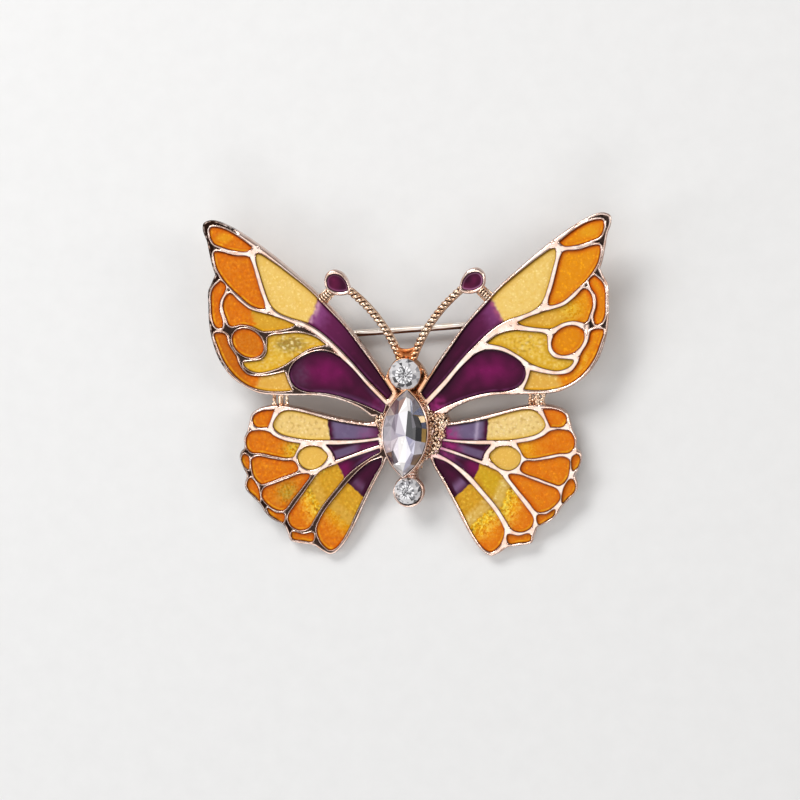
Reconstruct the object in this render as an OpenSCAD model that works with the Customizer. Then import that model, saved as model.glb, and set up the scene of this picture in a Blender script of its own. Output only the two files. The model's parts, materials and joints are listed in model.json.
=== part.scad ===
// Butterfly brooch: one cast mount with enamelled cells, three crystals and a hinged pin.
// Millimetres. The brooch lies face up, as it rests on a table: on its hinge, its catch
// and the tips of its hindwings, so the wing plane leans back by a few degrees.

/* [Casting] */
// Thickness of the wings, from the flat back to the top of the raised rims
wing_t = 1.4; // [1.2:0.1:1.8]
// Metal left under the enamel
floor_t = 0.5; // [0.4:0.1:0.6]
// How far the enamel lies below the rims
enamel_drop = 0.3; // [0.2:0.05:0.4]
// Thickness of the antenna rods
antenna_d = 0.96; // [0.8:0.02:1.1]

/* [Crystals] */
// Diameter of the head crystal
head_d = 3.6; // [3.4:0.1:3.7]
// Width of the long body crystal
body_w = 5; // [4.6:0.1:5.2]
// Length of the long body crystal
body_l = 10; // [9.6:0.1:10]
// Diameter of the tail crystal
tail_d = 3.1; // [2.9:0.1:3.2]
// Turn of the body crystal in its mount
body_turn = -4; // [-5:1:0]

/* [Pin] */
// Diameter of the pin stem
pin_d = 0.8; // [0.7:0.05:0.9]
// Depth of the pin's centre line below the back of the wings
pin_drop = 2.5; // [2.4:0.1:2.7]
// Distance from the hinge to the middle of the catch
pin_span = 25.4; // [24.5:0.1:26]
// Angle of the pin across the back
pin_turn = 3.6; // [2:0.2:5]
// Radial running clearance at the hinge rivet
hinge_play = 0.03; // [0.02:0.01:0.05]
// How far the pin opens, for checking the swing
pin_open = 0; // [0:5:80]
// How far the safety roller is turned, 100 is locked
roller_turn = 0; // [0:10:100]

/* [Hidden] */
$fn = 48;
gold = [0.83, 0.60, 0.47];
orange = [0.95, 0.52, 0.06];
yellow = [0.88, 0.70, 0.24];
plum = [0.30, 0.05, 0.20];
crystal = [0.86, 0.87, 0.92];

// Resting pose: the wing plane leans about X until the lower ear of the hinge and the tips
// of the hindwings touch the table, then the middle of the box is brought over the origin.
ear_r = 1.1;
ear_t = 0.6;
ear_gap = 1.6;
hinge_at = [-12.5, 5.4];
fore_tip_y = 19.3;
hind_tip_y = -19.8;
ear_edge_y = hinge_at[1] - (ear_gap / 2 + ear_t) * cos(pin_turn);
lean = atan((pin_drop + ear_r) / (ear_edge_y - hind_tip_y));
rest_lift = -hind_tip_y * sin(lean);
box_shift = (wing_t * sin(lean) - (fore_tip_y + hind_tip_y) * cos(lean)) / 2;

// Which way each side of the brooch lies along X
SIDES = [["right", 1], ["left", -1]];

// Outlines of the right side, X away from the body and Y towards the head. Each is a
// closed smooth curve through its points; a third value marks a sharp corner.
fore_edge = [
    [1.0, 1.2], [2.3, 0.9], [3.4, 2.5], [5.3, 5.1], [7.6, 8.0], [10.4, 10.95],
    [13.2, 13.45], [16.0, 15.75], [19.0, 17.85], [21.0, 18.95], [22.3, fore_tip_y],
    [23.2, 18.95], [23.3, 18.1], [22.9, 16.9], [22.65, 15.5], [22.4, 14.2],
    [22.05, 13.05, 1], [22.5, 12.1], [22.95, 11.1], [23.0, 9.5], [23.0, 7.8],
    [22.85, 6.2], [22.45, 4.5], [21.8, 2.9], [20.7, 1.3], [19.2, 0.1], [17.4, -0.75],
    [15.2, -1.0], [12.5, -1.05], [10.2, -1.1], [7.8, -1.6], [5.6, -2.5], [4.2, -3.5, 1],
    [1.0, -3.5, 1]
];
hind_edge = [
    [1.0, -3.4, 1], [4.4, -4.15], [6.5, -3.95], [8.6, -3.5], [10.6, -3.0],
    [12.8, -2.45], [15.1, -2.15], [17.1, -2.45], [18.25, -3.1], [18.6, -4.1],
    [18.85, -5.1], [19.3, -6.1], [19.3, -7.2], [19.75, -7.7], [19.9, -8.4],
    [19.6, -9.4], [19.1, -10.4, 1], [19.4, -11.6], [19.2, -12.3], [18.4, -13.15],
    [17.6, -14.0], [17.05, -14.9], [16.2, -15.7], [14.9, -16.35], [14.5, -17.2],
    [14.1, -18.2], [13.0, -18.5], [11.4, -18.75], [10.4, -19.4], [9.5, hind_tip_y],
    [8.7, -19.5], [7.6, -18.3], [6.4, -16.2], [5.3, -13.9], [4.1, -11.5], [3.0, -9.5],
    [2.3, -8.2], [1.0, -8.0, 1]
];
tip = [
    [17.6, 16.1, 1], [18.8, 17.05], [20.2, 17.95], [21.4, 18.4], [22.3, 18.4],
    [22.4, 17.6], [22.0, 16.7], [21.2, 16.3], [19.8, 15.85], [18.2, 15.65]
];
upper_outer = [
    [18.05, 15.05], [19.8, 15.2], [21.2, 15.6], [21.95, 15.6], [21.95, 14.6],
    [21.6, 13.5], [20.6, 12.0], [19.2, 10.6], [17.8, 9.45], [16.4, 9.1], [16.3, 9.7],
    [16.75, 11.1], [17.2, 12.8], [17.6, 14.3]
];
leading = [
    [16.9, 15.35], [15.4, 14.5], [13.2, 12.85], [10.9, 10.95], [8.9, 8.8], [7.0, 6.75],
    [5.5, 4.7], [4.0, 2.6], [2.7, 0.7], [1.75, -0.8, 1], [2.25, -1.45, 1], [4.5, 0.9],
    [6.3, 3.0], [8.1, 4.9], [9.9, 6.5], [11.6, 7.5], [13.2, 8.0], [14.7, 8.65],
    [15.6, 9.6], [16.2, 11.2], [16.7, 13.0], [17.1, 14.6]
];
crescent = [
    [21.4, 12.3, 1], [22.15, 11.6], [22.5, 10.8], [22.55, 9.4], [22.5, 8.0],
    [22.1, 7.05], [21.5, 6.95], [21.35, 7.7], [21.65, 8.9], [21.55, 10.1],
    [21.0, 11.1], [20.85, 11.8]
];
flame = [
    [20.3, 10.85], [20.95, 10.2], [21.15, 9.2], [20.85, 8.1], [20.4, 7.15],
    [19.0, 7.3], [17.8, 7.05], [16.6, 6.5], [15.2, 6.55], [13.4, 6.85], [12.8, 7.2, 1],
    [14.3, 7.85], [16.4, 8.5], [18.0, 9.0], [19.2, 9.9]
];
swirl = [
    [9.3, 4.85, 1], [10.6, 5.75], [12.4, 6.2], [14.3, 6.1], [15.9, 5.8], [16.1, 4.8],
    [16.2, 3.9], [16.9, 3.15], [18.2, 2.95], [19.0, 2.8], [18.5, 2.1], [17.3, 1.7],
    [15.9, 1.9], [14.3, 2.5], [12.8, 3.5], [11.2, 4.4]
];
band = [
    [22.3, 6.2], [21.1, 6.1], [20.7, 4.9], [19.9, 3.6], [19.5, 2.5], [18.6, 1.45],
    [17.0, 1.2], [15.5, 1.4], [14.2, 1.7, 1], [13.9, 0.7], [13.4, -0.4, 1],
    [14.9, -0.5], [16.5, -0.4], [18.3, 0.1], [19.9, 1.2], [21.2, 2.9], [21.95, 4.7]
];
teardrop = [
    [13.6, 1.4], [13.1, 2.6], [12.0, 3.45], [10.6, 4.0], [9.2, 4.05], [7.7, 3.35],
    [6.2, 2.0], [4.5, 0.0], [2.5, -2.1, 1], [2.85, -3.05, 1], [4.8, -2.15], [6.9, -1.35],
    [9.3, -0.75], [11.8, -0.5], [13.1, 0.2]
];
top_corner = [
    [15.6, -2.75, 1], [16.9, -2.85], [17.8, -3.25], [18.1, -4.0], [17.7, -4.65],
    [16.4, -4.7, 1], [16.0, -3.8]
];
top = [
    [15.7, -4.6], [15.3, -3.6], [14.5, -2.95], [13.4, -2.85], [11.5, -3.25],
    [9.2, -3.9], [7.0, -4.35], [4.6, -4.7], [3.0, -4.8, 1], [3.0, -5.8, 1],
    [4.6, -6.05], [6.5, -6.2], [9.0, -6.2], [11.6, -6.15], [13.6, -5.85], [15.0, -5.4]
];
outer_1 = [
    [12.6, -6.65, 1], [14.3, -6.35], [15.6, -5.8], [16.4, -5.25], [17.6, -5.1],
    [18.5, -5.35], [18.95, -6.2], [18.9, -7.1], [18.4, -7.65], [17.2, -7.75],
    [15.8, -8.05], [14.4, -8.3], [13.5, -8.2], [12.95, -7.3]
];
circle_cell = [
    [9.45, -8.05], [10.2, -7.25], [11.3, -7.0], [12.35, -7.35], [12.9, -8.25],
    [12.5, -9.25], [11.5, -9.7], [10.3, -9.25]
];
wedge = [
    [3.4, -6.3, 1], [5.6, -6.6], [8.0, -6.8], [9.5, -6.8, 1], [9.0, -7.4],
    [8.65, -8.0], [8.5, -8.55, 1], [6.9, -8.0], [5.2, -7.35], [3.4, -6.75, 1]
];
outer_2 = [
    [13.4, -8.75], [14.5, -8.7], [16.2, -8.45], [17.6, -8.2], [18.35, -8.5],
    [18.4, -9.5], [18.2, -10.5], [17.4, -11.4], [16.5, -11.2], [14.8, -10.55],
    [13.4, -10.05], [12.95, -9.6]
];
outer_3 = [
    [11.6, -10.3], [12.8, -10.3], [14.0, -10.75], [15.7, -11.4], [17.0, -11.95],
    [17.3, -12.9], [16.8, -13.7], [15.8, -14.4], [14.8, -14.5], [13.8, -13.3],
    [12.5, -11.7]
];
long_1 = [
    [3.3, -7.25, 1], [5.1, -7.85], [7.0, -8.5], [8.8, -9.25], [10.25, -9.9],
    [11.2, -11.0], [12.3, -12.5], [13.5, -14.1], [14.25, -15.3], [14.0, -16.3],
    [13.0, -16.85], [11.95, -16.6], [11.15, -15.4], [10.2, -13.9], [8.65, -12.0],
    [7.35, -10.45], [6.15, -9.4], [4.8, -8.45], [3.3, -7.6, 1]
];
long_2 = [
    [3.1, -8.35, 1], [4.4, -8.85], [5.6, -9.75], [6.9, -11.05], [8.3, -12.65],
    [9.7, -14.4], [10.5, -15.7], [10.9, -16.9], [10.45, -18.3], [9.4, -19.2],
    [8.5, -18.7], [7.3, -16.9], [6.3, -14.8], [5.3, -12.8], [4.15, -10.6], [3.2, -9.0]
];
chips = [
    [[18.8, -8.3], [19.3, -7.95], [19.6, -8.5], [19.35, -9.3], [18.85, -9.7]],
    [[18.65, -10.75], [19.05, -11.55], [18.85, -12.25], [18.2, -12.85], [17.65, -13.45],
     [17.7, -12.4], [18.0, -11.5]],
    [[14.8, -15.0], [15.8, -14.85], [16.75, -14.3], [16.5, -15.0], [15.8, -15.5],
     [14.95, -15.95]],
    [[11.4, -17.25], [12.6, -17.4], [13.8, -17.15], [13.85, -17.9], [12.7, -18.1],
     [11.5, -18.2]]
];
loop_edge = [
    [6.25, 10.8], [6.5, 12.1], [7.2, 13.1], [8.3, 13.4], [9.1, 12.75], [9.15, 11.5],
    [8.35, 10.65], [7.2, 10.45]
];
loop_cell = [
    [6.65, 11.2], [6.85, 12.0], [7.5, 12.65], [8.35, 12.75], [8.8, 12.25], [8.7, 11.5],
    [7.95, 11.05], [7.15, 11.0]
];
eye_at = [18.4, 5.1];
eye_r = [1.95, 1.5];
eye_turn = 35;
// Straight lines where one colour of enamel meets another inside a cell, outer end first
leading_cut = [[9.9, 10.1], [11.4, 7.1]];
top_cut = [[9.4, -3.5], [9.1, -6.5]];
long_1_cut = [[8.5, -8.7], [7.5, -11.0]];
long_2_cut = [[7.4, -11.1], [5.2, -13.1]];

// Each enamel fill: its name, colour and cell, and for a cell of two colours the line
// between them and which side of the line it is on, 1 for the wing tip's side
FORE_ENAMELS = [
    ["tip", orange, tip],
    ["upper_outer", orange, upper_outer],
    ["leading_yellow", yellow, leading, leading_cut, 1],
    ["leading_purple", plum, leading, leading_cut, -1],
    ["edge_crescent", orange, crescent],
    ["flame", orange, flame],
    ["swirl", yellow, swirl],
    ["lower_band", orange, band],
    ["teardrop", plum, teardrop]
];
HIND_ENAMELS = [
    ["top_corner", orange, top_corner],
    ["top_yellow", yellow, top, top_cut, 1],
    ["top_purple", plum, top, top_cut, -1],
    ["circle", yellow, circle_cell],
    ["wedge", plum, wedge],
    ["outer_1", orange, outer_1],
    ["outer_2", orange, outer_2],
    ["outer_3", orange, outer_3],
    ["long_1", orange, long_1, long_1_cut, 1],
    ["long_1_purple", plum, long_1, long_1_cut, -1],
    ["long_2", orange, long_2, long_2_cut, 1],
    ["long_2_purple", plum, long_2, long_2_cut, -1]
];
FORE_CELLS = [tip, upper_outer, leading, crescent, flame, swirl, band, teardrop];
HIND_CELLS = concat([top_corner, top, circle_cell, wedge, outer_1, outer_2, outer_3,
                     long_1, long_2], chips);

function fore_name(side, enamel) = str(side[0], "_fore_", enamel[0], "_enamel");
function hind_name(side, enamel) = str(side[0], "_hind_", enamel[0], "_enamel");
function side_name(side, what) = str(side[0], "_", what, "_enamel");

// Curve through points: a cubic between each pair, with the slope at a point taken from
// its two neighbours, or along the straight line at a sharp corner
curve_steps = 4;
function spot(list, i) = let (p = list[(i + len(list)) % len(list)]) [p[0], p[1]];
function sharp(list, i) = len(list[(i + len(list)) % len(list)]) > 2;
function slope(list, i, towards) =
    let (a = spot(list, i - 1), b = spot(list, i), c = spot(list, i + 1),
         before = norm(b - a), after = norm(c - b),
         length = towards > 0 ? after : before)
    sharp(list, i) ? (towards > 0 ? c - b : b - a) : (c - a) * length / (before + after);
function between(p, m, q, n, t) =
    (2 * t ^ 3 - 3 * t ^ 2 + 1) * p + (t ^ 3 - 2 * t ^ 2 + t) * m
    + (3 * t ^ 2 - 2 * t ^ 3) * q + (t ^ 3 - t ^ 2) * n;
function curve(list, steps = curve_steps) = [
    for (i = [0 : len(list) - 1], k = [0 : steps - 1])
        between(spot(list, i), slope(list, i, 1), spot(list, i + 1), slope(list, i + 1, -1),
                k / steps)
];

// Everything to one side of a line, as a large four-sided area
function far_side(cut, which) =
    let (along = (cut[1] - cut[0]) / norm(cut[1] - cut[0]),
         out = which * [-along[1], along[0]] * 20,
         a = cut[0] - along * 10, b = cut[1] + along * 10)
    [a, b, b + out, a + out];

// Lays a shape of the wing plane down in the resting pose
module lay() {
    translate([0, box_shift, rest_lift]) rotate([lean, 0, 0]) children();
}

// Puts a right-hand shape on either side
module on_side(side) {
    mirror([side[1] > 0 ? 0 : 1, 0, 0]) children();
}

// Puts pin hardware on the back: origin at the hinge axis, X along the pin
module on_back() {
    translate([hinge_at[0], hinge_at[1], -pin_drop]) rotate([0, 0, pin_turn]) children();
}

// The grainy shoulder beside the body, wider on the right than on the left
function shoulder_edge(side) = let (d = side[1] > 0 ? 0 : -1.05) [
    [1.5, -2.6, 1], [3.7 + d, -3.0], [4.6 + d, -3.4], [4.9 + d, -4.2], [4.4 + d, -5.1],
    [4.5 + d, -5.8], [4.0 + d, -6.4], [3.9 + d, -7.1], [3.2 + d, -8.0], [1.5, -8.1, 1]
];

module cell_area(side, outline) {
    difference() {
        polygon(curve(outline));
        polygon(curve(shoulder_edge(side)));
    }
}

module eye_area() {
    translate(eye_at) rotate([0, 0, eye_turn]) scale([eye_r[0], eye_r[1]])
        circle(r = 1, $fn = 40);
}

module enamel_area(side, enamel) {
    if (len(enamel) > 3) intersection() {
        cell_area(side, enamel[2]);
        polygon(far_side(enamel[3], enamel[4]));
    }
    else cell_area(side, enamel[2]);
}

// A fill of enamel in a cell of the wings
module fill() {
    translate([0, 0, floor_t]) linear_extrude(wing_t - enamel_drop - floor_t) children();
}

module fore_enamel(side, enamel) {
    color(enamel[1]) lay() on_side(side) fill() enamel_area(side, enamel);
}

module hind_enamel(side, enamel) {
    color(enamel[1]) lay() on_side(side) fill() enamel_area(side, enamel);
}

module eye_enamel(side) {
    color(orange) lay() on_side(side) fill() eye_area();
}

module chips_enamel(side) {
    color(orange) lay() on_side(side) fill() for (chip = chips) polygon(curve(chip));
}

// Antennae: a rod bent to an arc, ending in a flat loop that holds enamel
arc_at = [17.45, -3.0];
arc_r = 17.8;
arc_from = 128.6;
arc_sweep = 30.4;
rod_z = 0.95;
loop_bottom = 0.4;
loop_top = 1.5;
loop_floor = 0.8;

module antenna_enamel(side) {
    color(plum) lay() on_side(side) translate([0, 0, loop_floor])
        linear_extrude(loop_top - 0.25 - loop_floor) polygon(curve(loop_cell));
}

module antenna() {
    translate([arc_at[0], arc_at[1], rod_z]) rotate([0, 0, arc_from])
        rotate_extrude(angle = arc_sweep, $fn = 96)
            translate([arc_r, 0]) circle(d = antenna_d, $fn = 24);
    difference() {
        translate([0, 0, loop_bottom]) linear_extrude(loop_top - loop_bottom)
            polygon(curve(loop_edge));
        translate([0, 0, loop_floor]) linear_extrude(2) polygon(curve(loop_cell));
    }
    // strut from the loop down to the rim of the forewing
    translate([8.75, 10.75, rod_z]) rotate([90, 0, 47]) cylinder(r = 0.55, h = 1.5, $fn = 24);
}

// Pad of metal that ties fore- and hindwing together near their outer ends
bridge_at = [14.85, -1.6];
module bridge() {
    for (bar = [[-0.8, 0.3], [0, 0.75], [0.8, 0.3]])
        translate([bridge_at[0] + bar[0] - bar[1] / 2, bridge_at[1] - 1, 0.25])
            cube([bar[1], 2, 0.75]);
}

// Places and heights of the crystals
head_at = [0, 1.5];
body_at = [-0.1, -5.26];
tail_at = [0, -12];
head_seat = 2.5;
body_seat = 2.7;
tail_seat = 2.2;
cup_gap = 0.12;

// Round crystal: pavilion, girdle and crown, with its girdle standing on z = 0
module round_crystal(d) {
    cylinder(r = d / 2, h = 0.15);
    translate([0, 0, 0.15]) cylinder(r1 = d / 2, r2 = d * 0.29, h = d * 0.2);
    round_pavilion(d);
}

module round_pavilion(d) {
    translate([0, 0, -d * 0.36]) cylinder(r1 = d * 0.06, r2 = d / 2 - cup_gap, h = d * 0.36);
}

// What is cut away for a round crystal: its pavilion, and room round its girdle
module round_seat(d) {
    round_pavilion(d);
    cylinder(d = d + 0.04, h = 1);
}

// A navette is what two equal circles share. Their radius and offset follow from its size
navette_off = (body_l ^ 2 - body_w ^ 2) / (4 * body_w);
navette_r = navette_off + body_w / 2;
body_crown = 0.9;
body_pavilion = 1.9;

module navette(bottom_r, top_r, h) {
    intersection_for (way = [-1, 1])
        translate([way * navette_off, 0, 0]) cylinder(r1 = bottom_r, r2 = top_r, h = h, $fn = 96);
}

module body_pavilion_solid() {
    translate([0, 0, -body_pavilion])
        navette(navette_r - 2.1, navette_r - 2 * cup_gap, body_pavilion);
}

module body_stone() {
    navette(navette_r, navette_r, 0.2);
    translate([0, 0, 0.2]) navette(navette_r, navette_r - 1.1, body_crown);
    body_pavilion_solid();
}

module place_head() translate([head_at[0], head_at[1], head_seat]) children();
module place_body() translate([body_at[0], body_at[1], body_seat]) rotate([0, 0, body_turn]) children();
module place_tail() translate([tail_at[0], tail_at[1], tail_seat]) children();

module head_crystal() color(crystal) lay() place_head() round_crystal(head_d);
module body_crystal() color(crystal) lay() place_body() body_stone();
module tail_crystal() color(crystal) lay() place_tail() round_crystal(tail_d);

// The body: a base plate, a boat-shaped mount for the long crystal and two round cups
module body_metal() {
    for (way = [0, 1]) mirror([way, 0, 0]) linear_extrude(wing_t) polygon(curve([
        [-0.3, 3.1, 1], [1.4, 2.7], [2.4, 1.1], [2.7, -1.5], [3.1, -4], [3.1, -6.5],
        [2.5, -8.3], [1.2, -9.0], [-0.3, -9.3, 1]
    ]));
    translate([0, body_at[1], 0]) navette(navette_r + 0.4, navette_r + 0.2, body_seat);
    translate([head_at[0], head_at[1], 0]) cylinder(d = head_d - 0.1, h = head_seat);
    translate([0.1, tail_at[1] - 0.2, 0]) cylinder(r1 = 1.55, r2 = 1.75, h = tail_seat);
    translate([-0.6, tail_at[1] + 1, 0]) cube([1.7, 2, 1.9]);
    // web between the roots of the antennae
    translate([0, 0, 0.6]) linear_extrude(0.85) polygon(curve([
        [-1.2, 2.9, 1], [1.2, 2.9, 1], [1.55, 4.9, 1], [0.8, 4.5], [0, 4.35],
        [-0.8, 4.5], [-1.55, 4.9, 1]
    ]));
}

module casting() color(gold) lay() difference() {
    union() {
        body_metal();
        for (side = SIDES) on_side(side) {
            linear_extrude(wing_t) polygon(curve(fore_edge));
            linear_extrude(wing_t) polygon(curve(hind_edge));
            linear_extrude(wing_t + 0.25) polygon(curve(shoulder_edge(side)));
            bridge();
            antenna();
        }
    }
    for (side = SIDES) on_side(side) translate([0, 0, floor_t]) linear_extrude(4) {
        for (outline = concat(FORE_CELLS, HIND_CELLS)) cell_area(side, outline);
        eye_area();
    }
    place_head() round_seat(head_d);
    place_body() body_pavilion_solid();
    place_tail() round_seat(tail_d);
}

// Hinge: a plate soldered to the back with two ears, a rivet, and the pin's knuckle
plate_t = 0.4;
rivet_r = 0.35;

module hinge_bracket() color(gold) lay() on_back() difference() {
    union() {
        translate([-2, -2, pin_drop - plate_t]) cube([4, 4, plate_t]);
        for (way = [-1, 1]) translate([0, way * (ear_gap + ear_t) / 2, 0]) {
            rotate([90, 0, 0]) cylinder(r = ear_r, h = ear_t, center = true);
            translate([-ear_r, -ear_t / 2, 0]) cube([2 * ear_r, ear_t, pin_drop]);
        }
    }
    rotate([90, 0, 0]) cylinder(r = rivet_r, h = 6, center = true);
}

module hinge_rivet() color(gold) lay() on_back() rotate([90, 0, 0]) {
    cylinder(r = rivet_r, h = ear_gap + 2 * ear_t + 0.4, center = true);
    for (way = [-1, 1]) translate([0, 0, way * (ear_gap / 2 + ear_t + 0.1)])
        cylinder(r = rivet_r + 0.25, h = 0.2, center = true);
}

// Pin: a round knuckle on the rivet, a neck and a straight stem that runs to a slim point
knuckle_r = 0.85;
knuckle_w = 1.5;
neck_r = 0.62;
neck_l = 1.6;
point_l = 4.2;
stem_l = pin_span + 2.2;

module pin_stem() color(gold) lay() on_back() rotate([0, pin_open, 0]) difference() {
    union() {
        rotate([90, 0, 0]) cylinder(r = knuckle_r, h = knuckle_w, center = true);
        rotate([0, 90, 0]) cylinder(r1 = neck_r, r2 = pin_d / 2, h = neck_l);
        rotate([0, 90, 0]) cylinder(d = pin_d, h = stem_l - point_l);
        translate([stem_l - point_l, 0, 0]) rotate([0, 90, 0])
            cylinder(r1 = pin_d / 2, r2 = 0.06, h = point_l);
    }
    rotate([90, 0, 0]) cylinder(r = rivet_r + hinge_play, h = 3, center = true);
}

// Catch: a slotted ring on a plate. The roller inside turns about the pin to close the slot
ring_r = 1.55;
ring_bore = 1.03;
ring_l = 2;
slot_w = 1;
roller_r = 0.98;
roller_bore = pin_d / 2 + 0.2;
roller_l = 2.9;

module catch_housing() color(gold) lay() on_back() translate([pin_span, 0, 0]) difference() {
    union() {
        translate([-1.7, -1.8, pin_drop - plate_t]) cube([3.4, 3.6, plate_t]);
        translate([-ring_l / 2, -0.8, 0]) cube([ring_l, 1.6, pin_drop]);
        rotate([0, 90, 0]) cylinder(r = ring_r, h = ring_l, center = true);
    }
    rotate([0, 90, 0]) cylinder(r = ring_bore, h = 5, center = true);
    translate([-3, -slot_w / 2, -3]) cube([6, slot_w, 3]);
}

module roller_body() difference() {
    union() {
        rotate([0, 90, 0]) cylinder(r = roller_r, h = roller_l, center = true);
        for (way = [-1, 1]) translate([way * (roller_l - 0.35) / 2, 0, 0])
            rotate([0, 90, 0]) cylinder(r = 1.2, h = 0.35, center = true);
        rotate([-40, 0, 0]) translate([roller_l / 2 - 0.35, 0.6, -0.4]) cube([0.35, 1.35, 0.8]);
    }
    rotate([0, 90, 0]) cylinder(r = roller_bore, h = 5, center = true);
    translate([-3, -slot_w / 2, -3]) cube([6, slot_w, 3]);
}

module safety_roller() color(gold) lay() on_back() translate([pin_span, 0, 0])
    rotate([roller_turn, 0, 0]) roller_body();

casting();
head_crystal();
body_crystal();
tail_crystal();
hinge_bracket();
hinge_rivet();
pin_stem();
catch_housing();
safety_roller();
for (side = SIDES, enamel = FORE_ENAMELS)
    fore_enamel(side, enamel);
for (side = SIDES, enamel = HIND_ENAMELS)
    hind_enamel(side, enamel);
for (side = SIDES) {
    eye_enamel(side);
    chips_enamel(side);
    antenna_enamel(side);
}
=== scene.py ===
import json
import math
import random

import bpy
import numpy as np
from mathutils import Matrix, Vector, noise
from mathutils.geometry import delaunay_2d_cdt
from mathutils.kdtree import KDTree

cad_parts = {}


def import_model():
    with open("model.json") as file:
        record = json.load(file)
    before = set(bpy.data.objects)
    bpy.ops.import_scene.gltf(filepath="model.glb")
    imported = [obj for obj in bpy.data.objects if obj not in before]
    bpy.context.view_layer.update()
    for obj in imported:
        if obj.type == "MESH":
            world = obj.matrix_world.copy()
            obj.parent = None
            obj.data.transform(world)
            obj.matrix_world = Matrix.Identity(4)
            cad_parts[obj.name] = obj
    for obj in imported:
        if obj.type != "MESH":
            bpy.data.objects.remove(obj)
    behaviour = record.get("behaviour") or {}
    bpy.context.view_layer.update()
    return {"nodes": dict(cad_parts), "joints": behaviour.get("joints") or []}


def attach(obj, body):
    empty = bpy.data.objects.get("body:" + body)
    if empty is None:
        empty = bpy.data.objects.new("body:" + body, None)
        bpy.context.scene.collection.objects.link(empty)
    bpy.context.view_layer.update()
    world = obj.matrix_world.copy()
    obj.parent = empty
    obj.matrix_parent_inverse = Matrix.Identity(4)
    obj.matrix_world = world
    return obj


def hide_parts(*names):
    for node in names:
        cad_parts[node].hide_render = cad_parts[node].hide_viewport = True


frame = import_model()
random.seed(7)
TAU = math.tau
MM = 0.001

# ---------------------------------------------------------------- the wing plane's own frame
# Shapes are made in millimetres in the plane of the wings: X across, Y towards the head,
# Z up from the flat back. The two joints of the pin say where that plane lies.
JOINTS = {j["name"]: j for j in frame["joints"]}
HINGE_AT = np.array([-12.5, 5.4, -2.5])
AXIS_X = np.array([1.0, 0.0, 0.0])
AXIS_Z = np.cross(JOINTS["roller_turn"]["axis"], JOINTS["pin_hinge"]["axis"])
AXIS_Z /= np.linalg.norm(AXIS_Z)
BASIS = np.stack([AXIS_X, np.cross(AXIS_Z, AXIS_X), AXIS_Z])
ORIGIN = np.array(JOINTS["pin_hinge"]["pos_m"]) - HINGE_AT @ BASIS * MM

# Heights of the wings' metal and enamel, and of the antenna loops' metal and enamel
WING_TOP, ENAMEL_Z, LOOP_TOP, LOOP_ENAMEL_Z = 1.4, 1.1, 1.5, 1.25
HEAD_AT, BODY_AT, TAIL_AT = (0, 1.5, 2.5), (-0.1, -5.26, 2.7), (0, -12, 2.2)
BODY_TURN = math.radians(-4)


def world(points):
    return ORIGIN + (np.asarray(points, float) @ BASIS) * MM


def local(points):
    return ((np.asarray(points, float) - ORIGIN) / MM) @ BASIS.T


def ease(a, b, x):
    """Goes smoothly from 0 at x = a to 1 at x = b."""
    t = np.clip((np.asarray(x, float) - a) / (b - a), 0, 1)
    return t * t * (3 - 2 * t)


def bell(x, width):
    """1 at x = 0, fading to nothing on both sides."""
    return np.exp(-(x / width) ** 2)


def round_off(share):
    """How far a quarter round has dropped: 1 at share 0, none at share 1 and beyond."""
    return 1 - np.sqrt(1 - (1 - np.clip(share, 0, 1)) ** 2)


def srgb(r, g, b):
    c = np.array([r, g, b], float) / 255
    return np.where(c <= 0.04045, c / 12.92, ((c + 0.055) / 1.055) ** 2.4)


def wobble(points, size, seed=0.0):
    """Smooth noise from -1 to 1 with features of the given size in millimetres."""
    return np.array([noise.noise(Vector((p[0] / size, p[1] / size, seed))) for p in points])


# ---------------------------------------------------------------- reading outlines from the CAD
def cad(node):
    mesh = frame["nodes"][node].data
    mesh.calc_loop_triangles()
    co = np.empty(len(mesh.vertices) * 3, np.float32)
    mesh.vertices.foreach_get("co", co)
    tri = np.empty(len(mesh.loop_triangles) * 3, np.int32)
    mesh.loop_triangles.foreach_get("vertices", tri)
    return local(co.reshape(-1, 3)), tri.reshape(-1, 3)


def pairs(loop):
    """Every item with the next one, round a closed loop."""
    return zip(loop, [*loop[1:], *loop[:1]])


def tree_of(points):
    tree = KDTree(len(points))
    for i, p in enumerate(points):
        tree.insert((p[0], p[1], 0), i)
    tree.balance()
    return tree


def distance(points, tree):
    return np.array([tree.find((p[0], p[1], 0))[2] for p in points])


def nearest(points, tree):
    """Distance and direction from each point to the nearest point of the tree."""
    found = [tree.find((p[0], p[1], 0)) for p in points]
    d = np.array([f[2] for f in found])
    return d, (np.array([f[0][:2] for f in found]) - points) / np.maximum(d, 1e-6)[:, None]


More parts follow.
